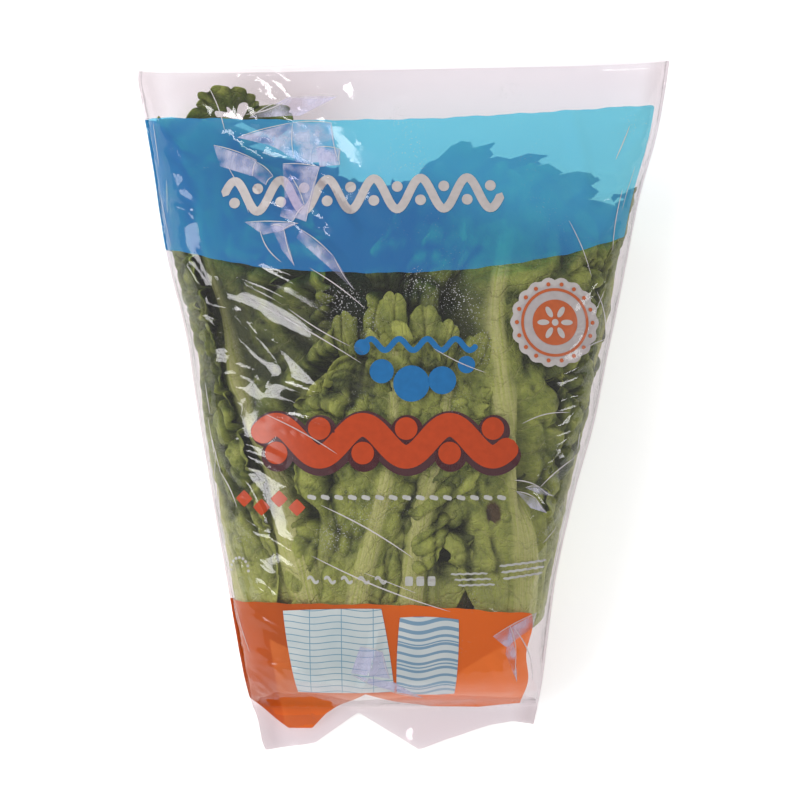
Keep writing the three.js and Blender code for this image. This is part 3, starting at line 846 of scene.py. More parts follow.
def stem_material():
    """Cut stem: pale, fibrous and matt, browned in patches, so that it reads as plant and not as plastic."""
    material, tree = new_material("cut_stem")
    place = node(tree, "TexCoord")
    along = node(tree, "Mapping", {"Vector": (place, "Object"), "Scale": (1, 0.12, 1)})
    fibres = node(tree, "TexNoise", {"Vector": along, "Scale": each(1.4), "Detail": 3})
    stains = node(tree, "TexNoise", {"Vector": (place, "Object"), "Scale": each(11), "Detail": 4})
    brown = node(tree, "MapRange", {"Value": stains, "From Min": 0.5, "From Max": 0.75, "To Max": 0.5})
    colour = node(tree, "Mix", {"Factor": brown, 6: linear("#e3dfbf"), 7: linear("#b59a6c")}, data_type="RGBA")
    bump = node(tree, "Bump", {"Strength": 0.4, "Distance": 0.0005, "Height": fibres})
    surface = node(tree, "BsdfPrincipled", {"Base Color": (colour, 2), "Roughness": 0.6, "Normal": bump})
    node(tree, "OutputMaterial", {"Surface": surface})
    return material


stem = round_piece("endive_stem", stem_grid())
place_piece(stem, stem_material(), "stem_white", "stem")
print("stem faces:", len(stem.data.polygons))

# %% [markdown]
# The sleeve is one film, folded flat at its seams. It is a thin wall over the head and a second one under it.
# Its height follows the same sections as the solid sleeve; on top of them come long tension folds. A cloth
# simulation could find such folds, but not in the places where this sleeve has them. So each fold is a tent
# with one steep and one shallow side, because it is the flat sides of folds that catch the light in crisp
# streaks. Short ones near the seams come from a seeded draw.

# %% Folds of the film
# Folds that the eye catches: start x, y, end x, y, height, width of the left side, width of the right side.
LONG_FOLDS = np.array(
    [(-104, 72, -18, 20, 3.0, 3.5, 10), (-99, 56, -62, 16, 2.6, 3, 8), (-84, 44, -36, 2, 2.8, 3, 9),
     (-82, 76, -14, 32, 2.4, 2.5, 8), (-72, 14, -34, -2, 2.4, 3, 8), (-60, 96, -26, 54, 2.2, 3, 9),
     (-76, -4, -38, -12, 2.0, 3, 8), (-38, -34, 16, -86, 2.0, 2, 7), (-42, -78, 58, -116, 1.8, 2, 8),
     (-92, -30, -70, -70, 1.8, 2.5, 6), (-98, 168, -44, 146, 2.6, 5, 9), (-90, 152, -34, 126, 2.8, 6, 9),
     (-104, 144, -66, 116, 2.6, 5, 9), (-52, 150, -30, 118, 2.0, 5, 8), (-60, 128, -24, 92, 2.4, 4, 9),
     (-78, 108, -30, 74, 2.2, 4, 9), (-92, 188, -62, 160, 1.2, 4, 6), (112, 34, 82, 16, 1.3, 3.5, 2.5),
     (106, 14, 78, 2, 1.1, 3, 2.5), (104, -4, 62, -12, 1.3, 3.5, 2.5), (98, -26, 60, -40, 1.3, 3.5, 2.5),
     (94, -46, 86, -80, 1.4, 3, 3), (118, 64, 104, -4, 2.2, 5, 5), (128, 130, 110, 40, 2.0, 4, 8),
     (62, -42, 84, -62, 1.8, 3, 7), (14, 32, 46, 18, 1.0, 2, 4), (46, -132, 58, -158, 2.4, 6, 6),
     (-14, -118, -30, -168, 1.8, 4, 5), (84, 178, 100, 104, 1.4, 4, 10)], float
)
SHORT_FOLDS = 110


def seeded_folds(count, seed=5):
    """More folds in the same form: short ones that start at a seam, and longer ones that run down and in."""
    rng = np.random.default_rng(seed)
    y = rng.uniform(-160, 180, count)
    left = rng.random(count) < 0.5
    offset = 10 + 46 * rng.random(count) ** 2
    x = np.where(left, seam_left(y) + offset * 0.3, seam_right(y) - offset * 0.3)
    heading = np.radians(rng.normal(-38, 22, count))
    reach = rng.uniform(14, 46, count)
    end_x = x + np.where(left, 1, -1) * reach * np.cos(heading)
    end_y = y + reach * np.sin(heading)
    high = rng.uniform(0.5, 1.5, count)
    narrow, wide = rng.uniform(1.6, 3, count), rng.uniform(3.5, 9, count)
    return np.stack([x, y, end_x, end_y, high, narrow, wide], -1)


FOLDS = np.concatenate([LONG_FOLDS, seeded_folds(SHORT_FOLDS)])


def fold_height(x, y):
    """Sum of tents: height sin(pi t)^0.6 max(0, 1 - |d| / width), t along the fold and d across it."""
    total = 0 * x
    for x0, y0, x1, y1, high, left, right in FOLDS:
        run = np.hypot(x1 - x0, y1 - y0)
        ux, uy = (x1 - x0) / run, (y1 - y0) / run
        t = ((x - x0) * ux + (y - y0) * uy) / run
        bow = 0.05 * run * np.sin(np.pi * np.clip(t, 0, 1))
        d = (x - x0) * uy - (y - y0) * ux + bow
        tent = np.maximum(0, 1 - np.maximum(-d / left, d / right))
        total = total + high * np.sin(np.pi * np.clip(t, 0, 1)) ** 0.6 * tent
    return total


print("folds:", len(FOLDS), "and the highest stands", LONG_FOLDS[:, 4].max(), "mm proud")

# %% [markdown]
# The film itself is a grid from the tail to the mouth. At each level it runs round half the section from one
# seam to the other, and ends in a flat fin that both films share. Fins and tail are crimped by their own
# small waves. The tail is cut ragged, so its last rows run out to an edge of its own.

# %% Film surface
SEAM_WIDTH, FILM_WALL = 1.6, 0.2
MOUTH_Y, MOUTH_LEAN, TAIL_TOP_Y, TAIL_Y = 189.0, 0.02, -168.0, -192
TAIL_EDGE = np.array(
    [(-86, -170), (-78, -192), (-50, -188), (-36, -178), (-26, -171), (8, -192), (24, -186), (48, -178),
     (60, -176), (76, -178)], float
)


def sleeve_point(y, turn):
    """Point (x, z) on the outside of the sleeve's section at y, kept 0.1 mm above the floor."""
    half = (seam_right(y) - seam_left(y)) / 2 - SEAM_WIDTH
    axis = axis_height(y)
    dx, dz = flattened(turn, half, sleeve_top(y) - axis, axis - sleeve_under(y), section_power(y))
    return axis_x(y) + dx, np.maximum(axis + dz, 0.1)


def film_grid(rows, columns, side):
    """Grid of the upper (side 1) or lower (side -1) film: right fin, section, left fin; from tail to mouth.

    The folds stand on the upper film only, and fade out over 10 mm beside a seam.
    """
    tail_rows = rows // 12
    tail_length = TAIL_TOP_Y - TAIL_Y
    tail = TAIL_Y + tail_length * np.linspace(0, 1, tail_rows, endpoint=False)
    climb = TAIL_TOP_Y + (MOUTH_Y - TAIL_TOP_Y) * np.linspace(0, 1, rows - tail_rows) ** 1.25
    level = np.concatenate([tail, climb])[:, None]
    turn = np.linspace(0, 0.5, columns)[None, :] * side
    x, z = sleeve_point(level, turn)
    fin = np.linspace(1, 0, 5, endpoint=False)[None, :]
    right = seam_right(level) - SEAM_WIDTH * (1 - fin)
    left = (seam_left(level) + SEAM_WIDTH * (1 - fin))[:, ::-1]
    seam_z = axis_height(level) + side * 0.45
    x = np.concatenate([right, x, left], axis=1)
    z = np.concatenate([seam_z + 0 * right, z, seam_z + 0 * left], axis=1)
    in_fin = np.abs(x - axis_x(level)) > (seam_right(level) - seam_left(level)) / 2 - SEAM_WIDTH
    y = level + MOUTH_LEAN * x * np.maximum(0, level) / MOUTH_Y
    edge = np.interp(x, *TAIL_EDGE.T)
    share = np.clip((level - TAIL_Y) / tail_length, 0, 1)
    y = np.where(level < TAIL_TOP_Y, edge + (TAIL_TOP_Y - edge) * share, y)

    # The fins and the tail are crimped; both films share the crimp, so they stay one seam.
    bend = np.sin(y / 23) + 0.8 * np.sin(y / 9.7 + 2)
    crimp = 0.7 * np.sin(y / 5.1 + 2.5 * bend) * np.sin(y / 31 + x / 60)
    crimp = crimp + 1.0 * bend + 0.25 * np.sin(y / 2.3 + x / 4)
    z = z + np.where(in_fin, crimp, 0)
    tail_part = 1 - smoothstep(-172, -163, level)
    z = z + tail_part * (1.6 + 1.2 * np.abs(np.sin(x / 7 + y / 15)) + 0.35 * np.sin(x / 3.3 - y / 5))
    if side > 0:
        middle = smoothstep(0, 10, x - seam_left(level)) * smoothstep(0, 10, seam_right(level) - x)
        z = z + fold_height(x, y) * middle * smoothstep(-176, -160, level)
    return np.stack([x, y, np.maximum(z, 0.3)], -1)


def film_wall(points):
    """Closed wall FILM_WALL thick behind a grid of points."""
    normal = grid_normals(points)
    return points, points - normal * FILM_WALL


upper = film_grid(250, 176, 1)
print("film reaches", np.round(upper[..., 2].max(), 1), "mm high")

# %% [markdown]
# The print on the film is two bands, each a coat of ink that lets some light through. The band edges are
# curves across the sleeve; each point of the film stores how far inside a band it lies, and the material cuts
# it sharp. Points also store how crinkled the film is there, how much painted light each band gets against
# its painted shade, and where damp has gathered, because a shader can't know such things about a place.

# %% Bands on the film
blue_top = curve((-141, 158.7), (-100, 157), (-58, 155.6), (0, 156), (25, 157), (85, 161), (137, 165.8))
blue_foot = curve(
    (-135, 87.2), (-111, 81.4), (-78, 74.7), (-41, 71.9), (-3, 71.4), (35, 73.5), (67, 78), (94, 83.7),
    (124, 94),
)
orange_top = curve((-95, -104.8), (-50, -105), (-3, -105.3), (30, -107.5), (62, -110.7), (90, -112))
ORANGE_FOOT = np.array(
    [(-88, -160), (-73, -173.5), (-65, -179.6), (-51.7, -179.6), (-44, -171.3), (-21.5, -156), (-2.8, -163),
     (13.8, -167), (41, -167.5), (55, -165.8), (66, -164.7)], float
)
ORANGE_END_X = 67.0
BLUE_SEAM_GAP = 5.5  # bare film between the blue band and the right seam
WRAP_WIDTH = 16.0  # how far both bands run on round the left edge, on the under side


def band_depths(points):
    """How far each point lies inside the blue and the orange band, in mm; below 0 is outside."""
    x, y = points[..., 0], points[..., 1]
    wobble = 0.25 * np.sin(x / 4.3) + 0.15 * np.sin(x / 1.9)
    blue = np.minimum(blue_top(x) - y + wobble, y - blue_foot(x) + wobble)
    blue = np.minimum(blue, seam_right(y) - BLUE_SEAM_GAP - x)
    foot = np.interp(x, *ORANGE_FOOT.T)
    orange = np.minimum(orange_top(x) - y + wobble, y - foot)
    orange = np.minimum(orange, ORANGE_END_X + 0.05 * (y + 130) + 1.2 * np.sin(y / 5) - x)
    return blue, orange


def crinkled(points):
    """0 to 1: how crinkled the film is at each point; most along the seams, at the ends and the upper left."""
    x, y = points[..., 0], points[..., 1]
    seam = np.minimum(x - seam_left(y), seam_right(y) - x)
    near_seam = 1 - smoothstep(3, 16, seam)
    corner = np.exp(-(((x + 72) / 42) ** 2) - ((y - 140) / 44) ** 2)
    ends = 0.25 * smoothstep(150, 185, y) + 0.4 * (1 - smoothstep(-172, -160, y))
    return np.clip(0.14 + 0.4 * near_seam + 0.8 * corner + ends, 0, 1)


# Where drops have gathered: x, y and reach.
DAMP_PATCHES = ((-34, 58, 13), (31, 59, 13), (42, 30, 16), (8, 66, 12), (-30, -68, 14), (70, 72, 10))


def film_piece(name, points, printed):
    """Film piece with its attributes; where it isn't printed, the bands only wrap round its left edge."""
    outer, inner = film_wall(points)
    blue, orange = band_depths(points)
    x, y = points[..., 0], points[..., 1]
    if not printed:
        wrap = seam_left(y) + WRAP_WIDTH - x
        blue, orange = np.minimum(blue, wrap), np.minimum(orange, wrap)
    damp = sum(np.exp(-(((x - px) ** 2 + (y - py) ** 2) / reach**2)) for px, py, reach in DAMP_PATCHES)
    # Painted light and shade: the blue is lighter towards the upper right, the orange towards the right and at
    # its foot, and each is darker elsewhere.
    blue_lighter = smoothstep(0, 1, (y - 92) / 38 + (x - 30) / 110)
    orange_lighter = np.maximum(smoothstep(-70, 40, x), 1 - smoothstep(-172, -164, y))
    laid = dict(damp=damp, blue_painted_light=blue_lighter, orange_painted_light=orange_lighter)
    attributes = dict(blue=blue, orange=orange, crinkled=crinkled(points), **laid)
    return join_walls(name, [(outer, inner, attributes)])


print("blue band:", round(float(blue_top(0) - blue_foot(0))), "mm tall in the middle")

# %% [markdown]
# The film is oriented polypropylene, blown thin and clear. It has no colour of its own: what shows it is its
# gloss. A glass shader with refraction would be slow and would darken the leaves, and so thin a film hardly
# bends light. So it is a mix: light passes straight through, and a share that grows towards grazing angles is
# reflected. A film never reflects like a flat pane. It is creased into facets, and each facet catches a light
# or misses it, which gives crisp glints. Random tilts for the cells of a Voronoi pattern do that.

# %% Facets of the film
FACETS = ((24, 0.30), (8.3, 0.24))  # width of the facets in mm, and how far they tilt
FACET_HEADING = -0.7


def crumpled_normal(tree, place, amount):
    """Normal of a film with flat facets: a random tilt for each cell of two sizes, and a fine ripple."""
    wide = {"Vector": (place, "Object"), "Scale": each(24), "Detail": 3, "Roughness": 0.6}
    bent = node(tree, "TexNoise", wide)
    off = node(tree, "VectorMath", {0: (bent, "Color"), 1: (0.5, 0.5, 0.5)}, operation="SUBTRACT")
    spread = {0: off, 1: (0.022, 0.022, 0.022), 2: (place, "Object")}
    moved = node(tree, "VectorMath", spread, operation="MULTIPLY_ADD")
    stretch = {"Vector": moved, "Rotation": (0, 0, FACET_HEADING), "Scale": (2.8, 0.75, 1)}
    turned = node(tree, "Mapping", stretch, vector_type="TEXTURE")
    geometry = node(tree, "NewGeometry")
    total = (geometry, "Normal")
    for facet, tilt in FACETS:
        cells = node(tree, "TexVoronoi", {"Vector": turned, "Scale": each(facet)}, feature="F1")
        lean = node(tree, "VectorMath", {0: (cells, "Color"), 1: (0.5, 0.5, 0.5)}, operation="SUBTRACT")
        much = node(tree, "Math", {0: amount, 1: tilt}, operation="MULTIPLY")
        sized = node(tree, "VectorMath", {0: lean, "Scale": much}, operation="SCALE")
        total = node(tree, "VectorMath", {0: total, 1: sized}, operation="ADD")
    ripple = node(tree, "VectorMath", {0: off, "Scale": 0.12}, operation="SCALE")
    total = node(tree, "VectorMath", {0: total, 1: ripple}, operation="ADD")
    return node(tree, "VectorMath", {0: total}, operation="NORMALIZE")


print("facets:", " and ".join(f"{facet} mm" for facet, _ in FACETS))

# %% [markdown]
# On top of the film lie damp and ink. Fine drops are matt and pale, and stand in patches. The ink is matt
# pigment under a weak gloss, and lets a tint of what is below come through: a coat alone would hide the leaves,
# and a tint alone would turn them dark. Each band has a darker and a lighter look, painted shade and painted
# light, which stand in for the leaves behind it lying in shade and in light.

# %% Film material
# What is left of light that has passed through: of red, green and blue.
CLEAR_FILM, CREASED_FILM = (0.962, 0.946, 0.957, 1), (0.9, 0.87, 0.88, 1)


def damp_specks(tree, place, shader):
    """Shader with damp over it: in patches, specks up to 0.6 mm wide, matt and pale as fine drops are."""
    wet = node(tree, "TexNoise", {"Vector": (place, "Object"), "Scale": each(42), "Detail": 3})
    patch = node(tree, "Attribute", attribute_name="damp")
    wet = node(tree, "Math", {0: (patch, "Fac"), 1: 0.28, 2: wet}, operation="MULTIPLY_ADD")
    width = node(tree, "MapRange", {"Value": wet, "From Min": 0.5, "From Max": 0.8, "To Max": 0.26})
    drops = node(tree, "TexVoronoi", {"Vector": (place, "Object"), "Scale": each(1.2)}, feature="F1")
    speck = node(tree, "Math", {0: (drops, "Distance"), 1: width}, operation="LESS_THAN")
    half_speck = node(tree, "Math", {0: speck, 1: 0.5}, operation="MULTIPLY")
    mist = node(tree, "BsdfDiffuse", {"Color": (0.8, 0.8, 0.8, 1)})
    return node(tree, "MixShader", {0: half_speck, 1: shader, 2: mist})


def inked(tree, shader, band, thin, thick, mirror, sheen):
    """Shader with a band of ink on the outer face only; thin and thick are (coat, tint, cover) in painted shade
    and light.
    """
    depth = node(tree, "Attribute", attribute_name=band)
    laid = (node(tree, "Attribute", attribute_name=band + "_painted_light"), "Fac")
    outside = node(tree, "Attribute", attribute_name="outside")
    within = node(tree, "Math", {0: (depth, "Fac"), 1: 0.0}, operation="GREATER_THAN")
    inside = node(tree, "Math", {0: within, 1: (outside, "Fac")}, operation="MULTIPLY")
    body = node(tree, "Mix", {"Factor": laid, 6: linear(thin[0]), 7: linear(thick[0])}, data_type="RGBA")
    through = node(tree, "Mix", {"Factor": laid, 6: thin[1], 7: thick[1]}, data_type="RGBA")
    hiding = node(tree, "MapRange", {"Value": laid, "To Min": thin[2], "To Max": thick[2]})
    pigment = node(tree, "BsdfDiffuse", {"Color": (body, 2)})
    ink = node(tree, "MixShader", {0: mirror, 1: pigment, 2: sheen})
    stain = node(tree, "BsdfTransparent", {"Color": (through, 2)})
    coated = node(tree, "MixShader", {0: hiding, 1: stain, 2: ink})
    return node(tree, "MixShader", {0: inside, 1: shader, 2: coated})


def film_material(name, inks, damp):
    """Clear film: almost all light goes straight through, and a sharp gloss lies on top of it.

    Each surface reflects 0.036 + 0.6 f^5, where f is 0 face on and 1 at grazing. On ink the gloss is weaker,
    0.35 of that, so steep inked film stays dark and rich.
    """
    material, tree = new_material(name)
    place = node(tree, "TexCoord")
    crinkle = node(tree, "Attribute", attribute_name="crinkled")
    normal = crumpled_normal(tree, place, (crinkle, "Fac"))
    facing = node(tree, "LayerWeight", {"Blend": 0.5, "Normal": normal})
    grazing = node(tree, "Math", {0: (facing, "Facing"), 1: 5.0}, operation="POWER")
    mirror = node(tree, "Math", {0: grazing, 1: 0.6, 2: 0.036}, operation="MULTIPLY_ADD")
    dull = node(tree, "MapRange", {"Value": (crinkle, "Fac"), "From Min": 0.3, "From Max": 1.0})
    shade = node(tree, "Mix", {"Factor": dull, 6: CLEAR_FILM, 7: CREASED_FILM}, data_type="RGBA")
    clear = node(tree, "BsdfTransparent", {"Color": (shade, 2)})
    gloss = node(tree, "BsdfGlossy", {"Roughness": 0.07, "Normal": normal})
    shader = node(tree, "MixShader", {0: mirror, 1: clear, 2: gloss})
    if damp:
        shader = damp_specks(tree, place, shader)
    weak_mirror = node(tree, "Math", {0: mirror, 1: 0.35}, operation="MULTIPLY")
    sheen = node(tree, "BsdfGlossy", {"Roughness": 0.16, "Normal": normal})
    for band, thin, thick in inks:
        shader = inked(tree, shader, band, thin, thick, weak_mirror, sheen)
    node(tree, "OutputMaterial", {"Surface": shader})
    return material


# For each band: its colour, the tint that it gives to what lies below and how much it hides, in painted shade
# and in painted light.
INKS = (
    ("blue", ("#4ba9fd", (0.30, 0.98, 0.91, 1), 0.42), ("#55c4f9", (0.39, 0.96, 0.79, 1), 0.62)),
    ("orange", ("#cf6024", (0.93, 0.36, 0.1, 1), 0.78), ("#ff7722", (0.95, 0.38, 0.1, 1), 0.85)),
)
# Painted shade: the blue where the band turns under the left edge is a darker copy of the ink on top.
WRAPPED = (("blue", *[("#2a5f86", (0.2, 0.6, 0.8, 1), 0.85)] * 2), INKS[1])  # seen through two films
printed_film = film_material("printed_film", INKS, True)
wrapped_film = film_material("wrapped_film", WRAPPED, False)
film_over = film_piece("film_over", upper, True)
film_under = film_piece("film_under", film_grid(120, 60, -1), False)
place_piece(film_over, printed_film, "film", "film_sleeve")
place_piece(film_under, wrapped_film, "film", "film_sleeve")
print("film faces:", len(film_over.data.polygons), "above and", len(film_under.data.polygons), "below")

# %% [markdown]
# The rest of the print is a plain pattern of waves, dots and stripes. It could be an image laid on the film,
# but its edges would blur from close by. So each mark is a thin closed patch of ink that follows the film a
# quarter of a millimetre above it, folds and all. A patch starts as a square grid; it is rounded to a disc,
# or bent along a line, and then laid on the film.

# %% Shapes of the print
INK_LIFT, INK_WALL = 0.25, 0.08  # above the film, and thick


def film_top(x, y):
    """Height of the upper film: its section at y, and the folds."""
    level = y - MOUTH_LEAN * x * np.maximum(0, y) / MOUTH_Y
    half = (seam_right(level) - seam_left(level)) / 2 - SEAM_WIDTH
    axis, power = axis_height(level), section_power(level)
    share = np.clip(np.abs(x - axis_x(level)) / half, 0, 1)
    return axis + (sleeve_top(level) - axis) * (1 - share**power) ** (1 / power) + fold_height(x, y)


def ink_wall(x, y, lift=INK_LIFT):
    """Closed thin wall over the points (x, y) of a grid, which is turned round if it would face down."""
    outer = np.stack([x, y, film_top(x, y) + lift], -1)
    if np.cross(outer[1, 0] - outer[0, 0], outer[0, 1] - outer[0, 0])[2] > 0:
        outer = outer[:, ::-1]
    place = dict(sheet_x=outer[..., 0], sheet_y=outer[..., 1])
    return outer, outer - (0, 0, INK_WALL), place


def disc(cx, cy, rx, ry=None, tilt=0.0, corner=0.5, count=17, lift=INK_LIFT, skew=0.0):
    """Ellipse or rounded rectangle with half sizes rx and ry, slanted by skew and turned by tilt.

    It is the square grid (u, v) from -1 to 1, with u pushed in by sqrt(1 - corner v^2) and v by
    sqrt(1 - corner u^2). A corner of 0.5 gives an ellipse, and 0 leaves the square.
    """
    u, v = np.meshgrid(np.linspace(-1, 1, count), np.linspace(-1, 1, count))
    a = rx * u * np.sqrt(1 - corner * v * v)
    b = (ry or rx) * v * np.sqrt(1 - corner * u * u)
    a = a + skew * b
    return ink_wall(cx + a * np.cos(tilt) - b * np.sin(tilt), cy + a * np.sin(tilt) + b * np.cos(tilt), lift)


def stroke(x, y, width, lift=INK_LIFT):
    """Band of a given width along the line (x, y), with round ends."""
    along = np.stack([np.gradient(x), np.gradient(y)])
    along /= np.linalg.norm(along, axis=0)
    run = np.concatenate([[0], np.cumsum(np.hypot(np.diff(x), np.diff(y)))])
    end = np.clip(np.minimum(run, run[-1] - run) / (width / 2), 0, 1)
    half = width / 2 * np.sqrt(1 - (1 - end) ** 2) + 0.02
    side = np.linspace(-1, 1, 5)[None, :] * half[:, None]
    return ink_wall(x[:, None] - along[1][:, None] * side, y[:, None] + along[0][:, None] * side, lift)


def ring(cx, cy, radius, width, scallops=0, depth=0.0, lift=INK_LIFT, count=97):
    """Stroke round a circle whose radius swells by depth at each scallop."""
    angle = np.linspace(0, TAU, count)
    r = radius + depth * np.abs(np.cos(scallops * angle / 2))
    side = np.linspace(-1, 1, 5)[None, :] * width / 2
    reach = r[:, None] + side
    return ink_wall(cx + reach * np.cos(angle)[:, None], cy + reach * np.sin(angle)[:, None], lift)


def wave(x0, x1, y, height, pitch, rise=0.0, count=160):
    """Line y + height sin(2 pi (x - x0) / pitch), rising by rise from end to end."""
    x = np.linspace(x0, x1, count)
    return x, y + height * np.sin(TAU * (x - x0) / pitch) + rise * (x - x0) / (x1 - x0)


print("film at its middle:", round(float(film_top(np.array(0.0), np.array(0.0))), 1), "mm high")

# %% [markdown]
# The print is quick-drying ink that was rolled on from a soft plate, in one thin coat. So it is even and
# satin, it has faint clouds where it was laid thinner, and some light comes through it. A principled shader
# in the ink's colour, mixed with a transparent one in the same colour, gives the eye that.
# The two panels are pale ink with rules or stripes of a second one. Their lines could follow Object
# coordinates, but then they would slide over the folds; so a panel stores for each point where it lies on the
# flat film, and the lines are worked out from that.

# %% Inks
INK_ROUGHNESS = 0.3  # satin
RULE_SWING = 0.22  # radians for each mm: the rules wave once in 29 mm
RULE_STRENGTH = 0.75  # how far a rule covers the paler ink below it


def ink_material(name, colour, see_through):
    """Ink on film: a satin coat with faint clouds, which lets the share see_through of the light pass."""
    material, tree = new_material(name)
    place = node(tree, "TexCoord")
    grain = node(tree, "TexNoise", {"Vector": (place, "Object"), "Scale": each(3.8), "Detail": 4})
    spread = {"Value": grain, "From Min": 0.3, "From Max": 0.7, "To Min": 0.9, "To Max": 1.04}
    cover = node(tree, "MapRange", spread)
    shade = node(tree, "HueSaturation", {"Value": cover, "Color": linear(colour)})
    ink = node(tree, "BsdfPrincipled", {"Base Color": shade, "Roughness": INK_ROUGHNESS})
    clear = node(tree, "BsdfTransparent", {"Color": linear(colour)})
    both = node(tree, "MixShader", {0: see_through, 1: ink, 2: clear})
    node(tree, "OutputMaterial", {"Surface": both})
    return material


def label_material(name, paper, line, bands):
    """Pale panel ruled in a second colour: bands is a list of (attribute, pitch, line width, wave height)."""
    material, tree = new_material(name)
    across = node(tree, "Attribute", attribute_name="sheet_x")
    up = node(tree, "Attribute", attribute_name="sheet_y")
    swing = node(tree, "Math", {0: (across, "Fac"), 1: RULE_SWING}, operation="MULTIPLY")
    swing = node(tree, "Math", {0: swing}, operation="SINE")
    ruled = None
    for key, pitch, wide, high in bands:
        run = (up if key == "sheet_y" else across, "Fac")
        moved = node(tree, "Math", {0: swing, 1: high, 2: run}, operation="MULTIPLY_ADD")
        saw = node(tree, "Math", {0: moved, 1: pitch / 2}, operation="PINGPONG")
        bar = node(tree, "Math", {0: saw, 1: wide / 2}, operation="LESS_THAN")
        ruled = bar if ruled is None else node(tree, "Math", {0: ruled, 1: bar}, operation="MAXIMUM")
    share = node(tree, "Math", {0: ruled, 1: RULE_STRENGTH}, operation="MULTIPLY")
    place = node(tree, "TexCoord")
    smudge = node(tree, "TexNoise", {"Vector": (place, "Object"), "Scale": each(18), "Detail": 3})
    tone = node(tree, "Mix", {"Factor": smudge, 6: linear(paper), 7: linear("#d9dbd9")}, data_type="RGBA")
    colour = node(tree, "Mix", {"Factor": share, 6: (tone, 2), 7: linear(line)}, data_type="RGBA")
    surface = node(tree, "BsdfPrincipled", {"Base Color": (colour, 2), "Roughness": 0.25})
    node(tree, "OutputMaterial", {"Surface": surface})
    return material


def printed(name, walls, material):
    """Piece made of printed marks that share an ink."""
    piece = join_walls(name, walls, smooth=False)
    place_piece(piece, material, "film")
    return piece


print("inks ready")

# %% [markdown]
# Three motifs stand between the bands: a row of waves with a dot in each bend, a broad ribbon with a dark
# edge that is printed a little out of register, and a bow of five spots. All marks in one ink are joined to
# one piece.

# %% Wave row, ribbon and spots
ROW_X, ROW_Y, ROW_PITCH, ROW_RISE = -98, 113, 25, 2
wave_x, wave_y = wave(ROW_X, ROW_X + 6 * ROW_PITCH, ROW_Y, 8.5, ROW_PITCH, rise=ROW_RISE)
garland = [stroke(wave_x, wave_y, 4.6)]
for k in range(12):
    dot_y = ROW_Y + (-3.5 if k % 2 == 0 else 4) + ROW_RISE * k / 12
    garland.append(disc(ROW_X + ROW_PITCH / 2 * (k + 0.5), dot_y, 2.9))
printed("print_wave_row", garland, ink_material("ink_grey", "#cbc3c2", 0.12))

RIBBON_X, RIBBON_Y, RIBBON_PITCH = -80, -18, 46
EDGE_X, EDGE_Y = 0.6, -1.4  # how far the dark edge is out of register
ribbon_x, ribbon_y = wave(RIBBON_X, RIBBON_X + 3 * RIBBON_PITCH, RIBBON_Y, 8.5, RIBBON_PITCH, count=220)
bend_x = [RIBBON_X + RIBBON_PITCH / 2 * (k + 0.5) for k in range(6)]
bends = [(x, RIBBON_Y + (-6.5 if k % 2 == 0 else 6.5)) for k, x in enumerate(bend_x)]
backing = [stroke(ribbon_x + EDGE_X, ribbon_y + EDGE_Y, 17.5, 0.2)]
backing += [disc(x + EDGE_X, y + EDGE_Y, 8.6, lift=0.2) for x, y in bends]
printed("print_ribbon_edge", backing, ink_material("ink_maroon", "#532a30", 0.1))
ribbon = [stroke(ribbon_x, ribbon_y, 12.5, 0.4)] + [disc(x, y, 6.0, lift=0.45) for x, y in bends]
ribbon += [disc(-86 + 9.5 * k, -49 - 4.5 * (k % 2), 3.4, 3.4, 0.785, corner=0.12) for k in range(4)]
printed("print_ribbon", ribbon, ink_material("ink_orange", "#c4471c", 0.06))

ARC_X, ARC_Y, ARC_RADIUS = 8, 46, 34
SPOTS = ((205, 4.2), (233, 6.4), (262, 9.6), (290, 7.4), (316, 4.6))  # angle in degrees and radius
spots = []
for degrees, radius in SPOTS:
    angle = np.radians(degrees)
    spots.append(disc(ARC_X + ARC_RADIUS * np.cos(angle), ARC_Y + ARC_RADIUS * np.sin(angle), radius))
spots.append(stroke(*wave(-22, 38, 33, 3.0, 15), 3.0))
printed("print_spots", spots, ink_material("ink_blue", "#2478b8", 0.15))
print("marks in the wave row, ribbon and bow:", len(garland), len(ribbon), len(spots))

# %% [markdown]
# Film that has once been folded sharply stays white along the fold, because there the plastic is stretched
# and scatters light; the same lines are painted highlights too, which stand in for the crisp glints of folds.
# Bump in the film's material would give soft glints only, so each line is a thin patch like the print, which
# tapers to both ends. Those on the front are set one by one. The short ones down both flanks come from a
# seeded draw, because film is crumpled everywhere there.

# %% Whitened creases and painted glints
CREASE_LIFT, CREASE_FLANK_LIFT = 0.55, 0.5
FLANK_CREASES = 110
FLANK_FOOT = 30  # below this height the film turns under, and carries none
CREASES = np.array(  # start x, y, end x, y, width and how far it bows aside
    [(-108, 176, -98, 150, 0.5, 1), (-87, 159, -63, 168, 0.6, -2), (-63, 168, -36, 169.5, 0.5, 1),
     (-78, 95, -66, 77, 0.5, -2), (-51, 74, -21, 52, 0.55, 1), (-88, 60, -23, 23, 0.6, 1),
     (-62, 52, -29, 32, 0.5, -1), (-100, -34, -90, -54, 0.5, 1), (-74, -4, -36, -25, 0.45, 1),
     (-45, -52, 4, -80, 0.7, 1.5), (-50, -79, 24, -109, 0.7, -2), (-22, -88, 6, -99, 0.4, 0),
     (15, 31, 43, 18, 0.45, -1), (92, 28, 110, 37, 0.5, 1), (62, -9, 88, -3, 0.5, 2),
     (58, -39, 72, -43, 0.6, 1), (72, -43, 92, -27, 0.6, 1), (103, 62, 108, 36, 0.55, 2),
     (88, 100, 100, 70, 0.4, 1), (118, 118, 112, 84, 0.5, -1), (58, -118, 70, -150, 0.6, 3),
     (-96, 130, -84, 104, 0.45, 1)]
)


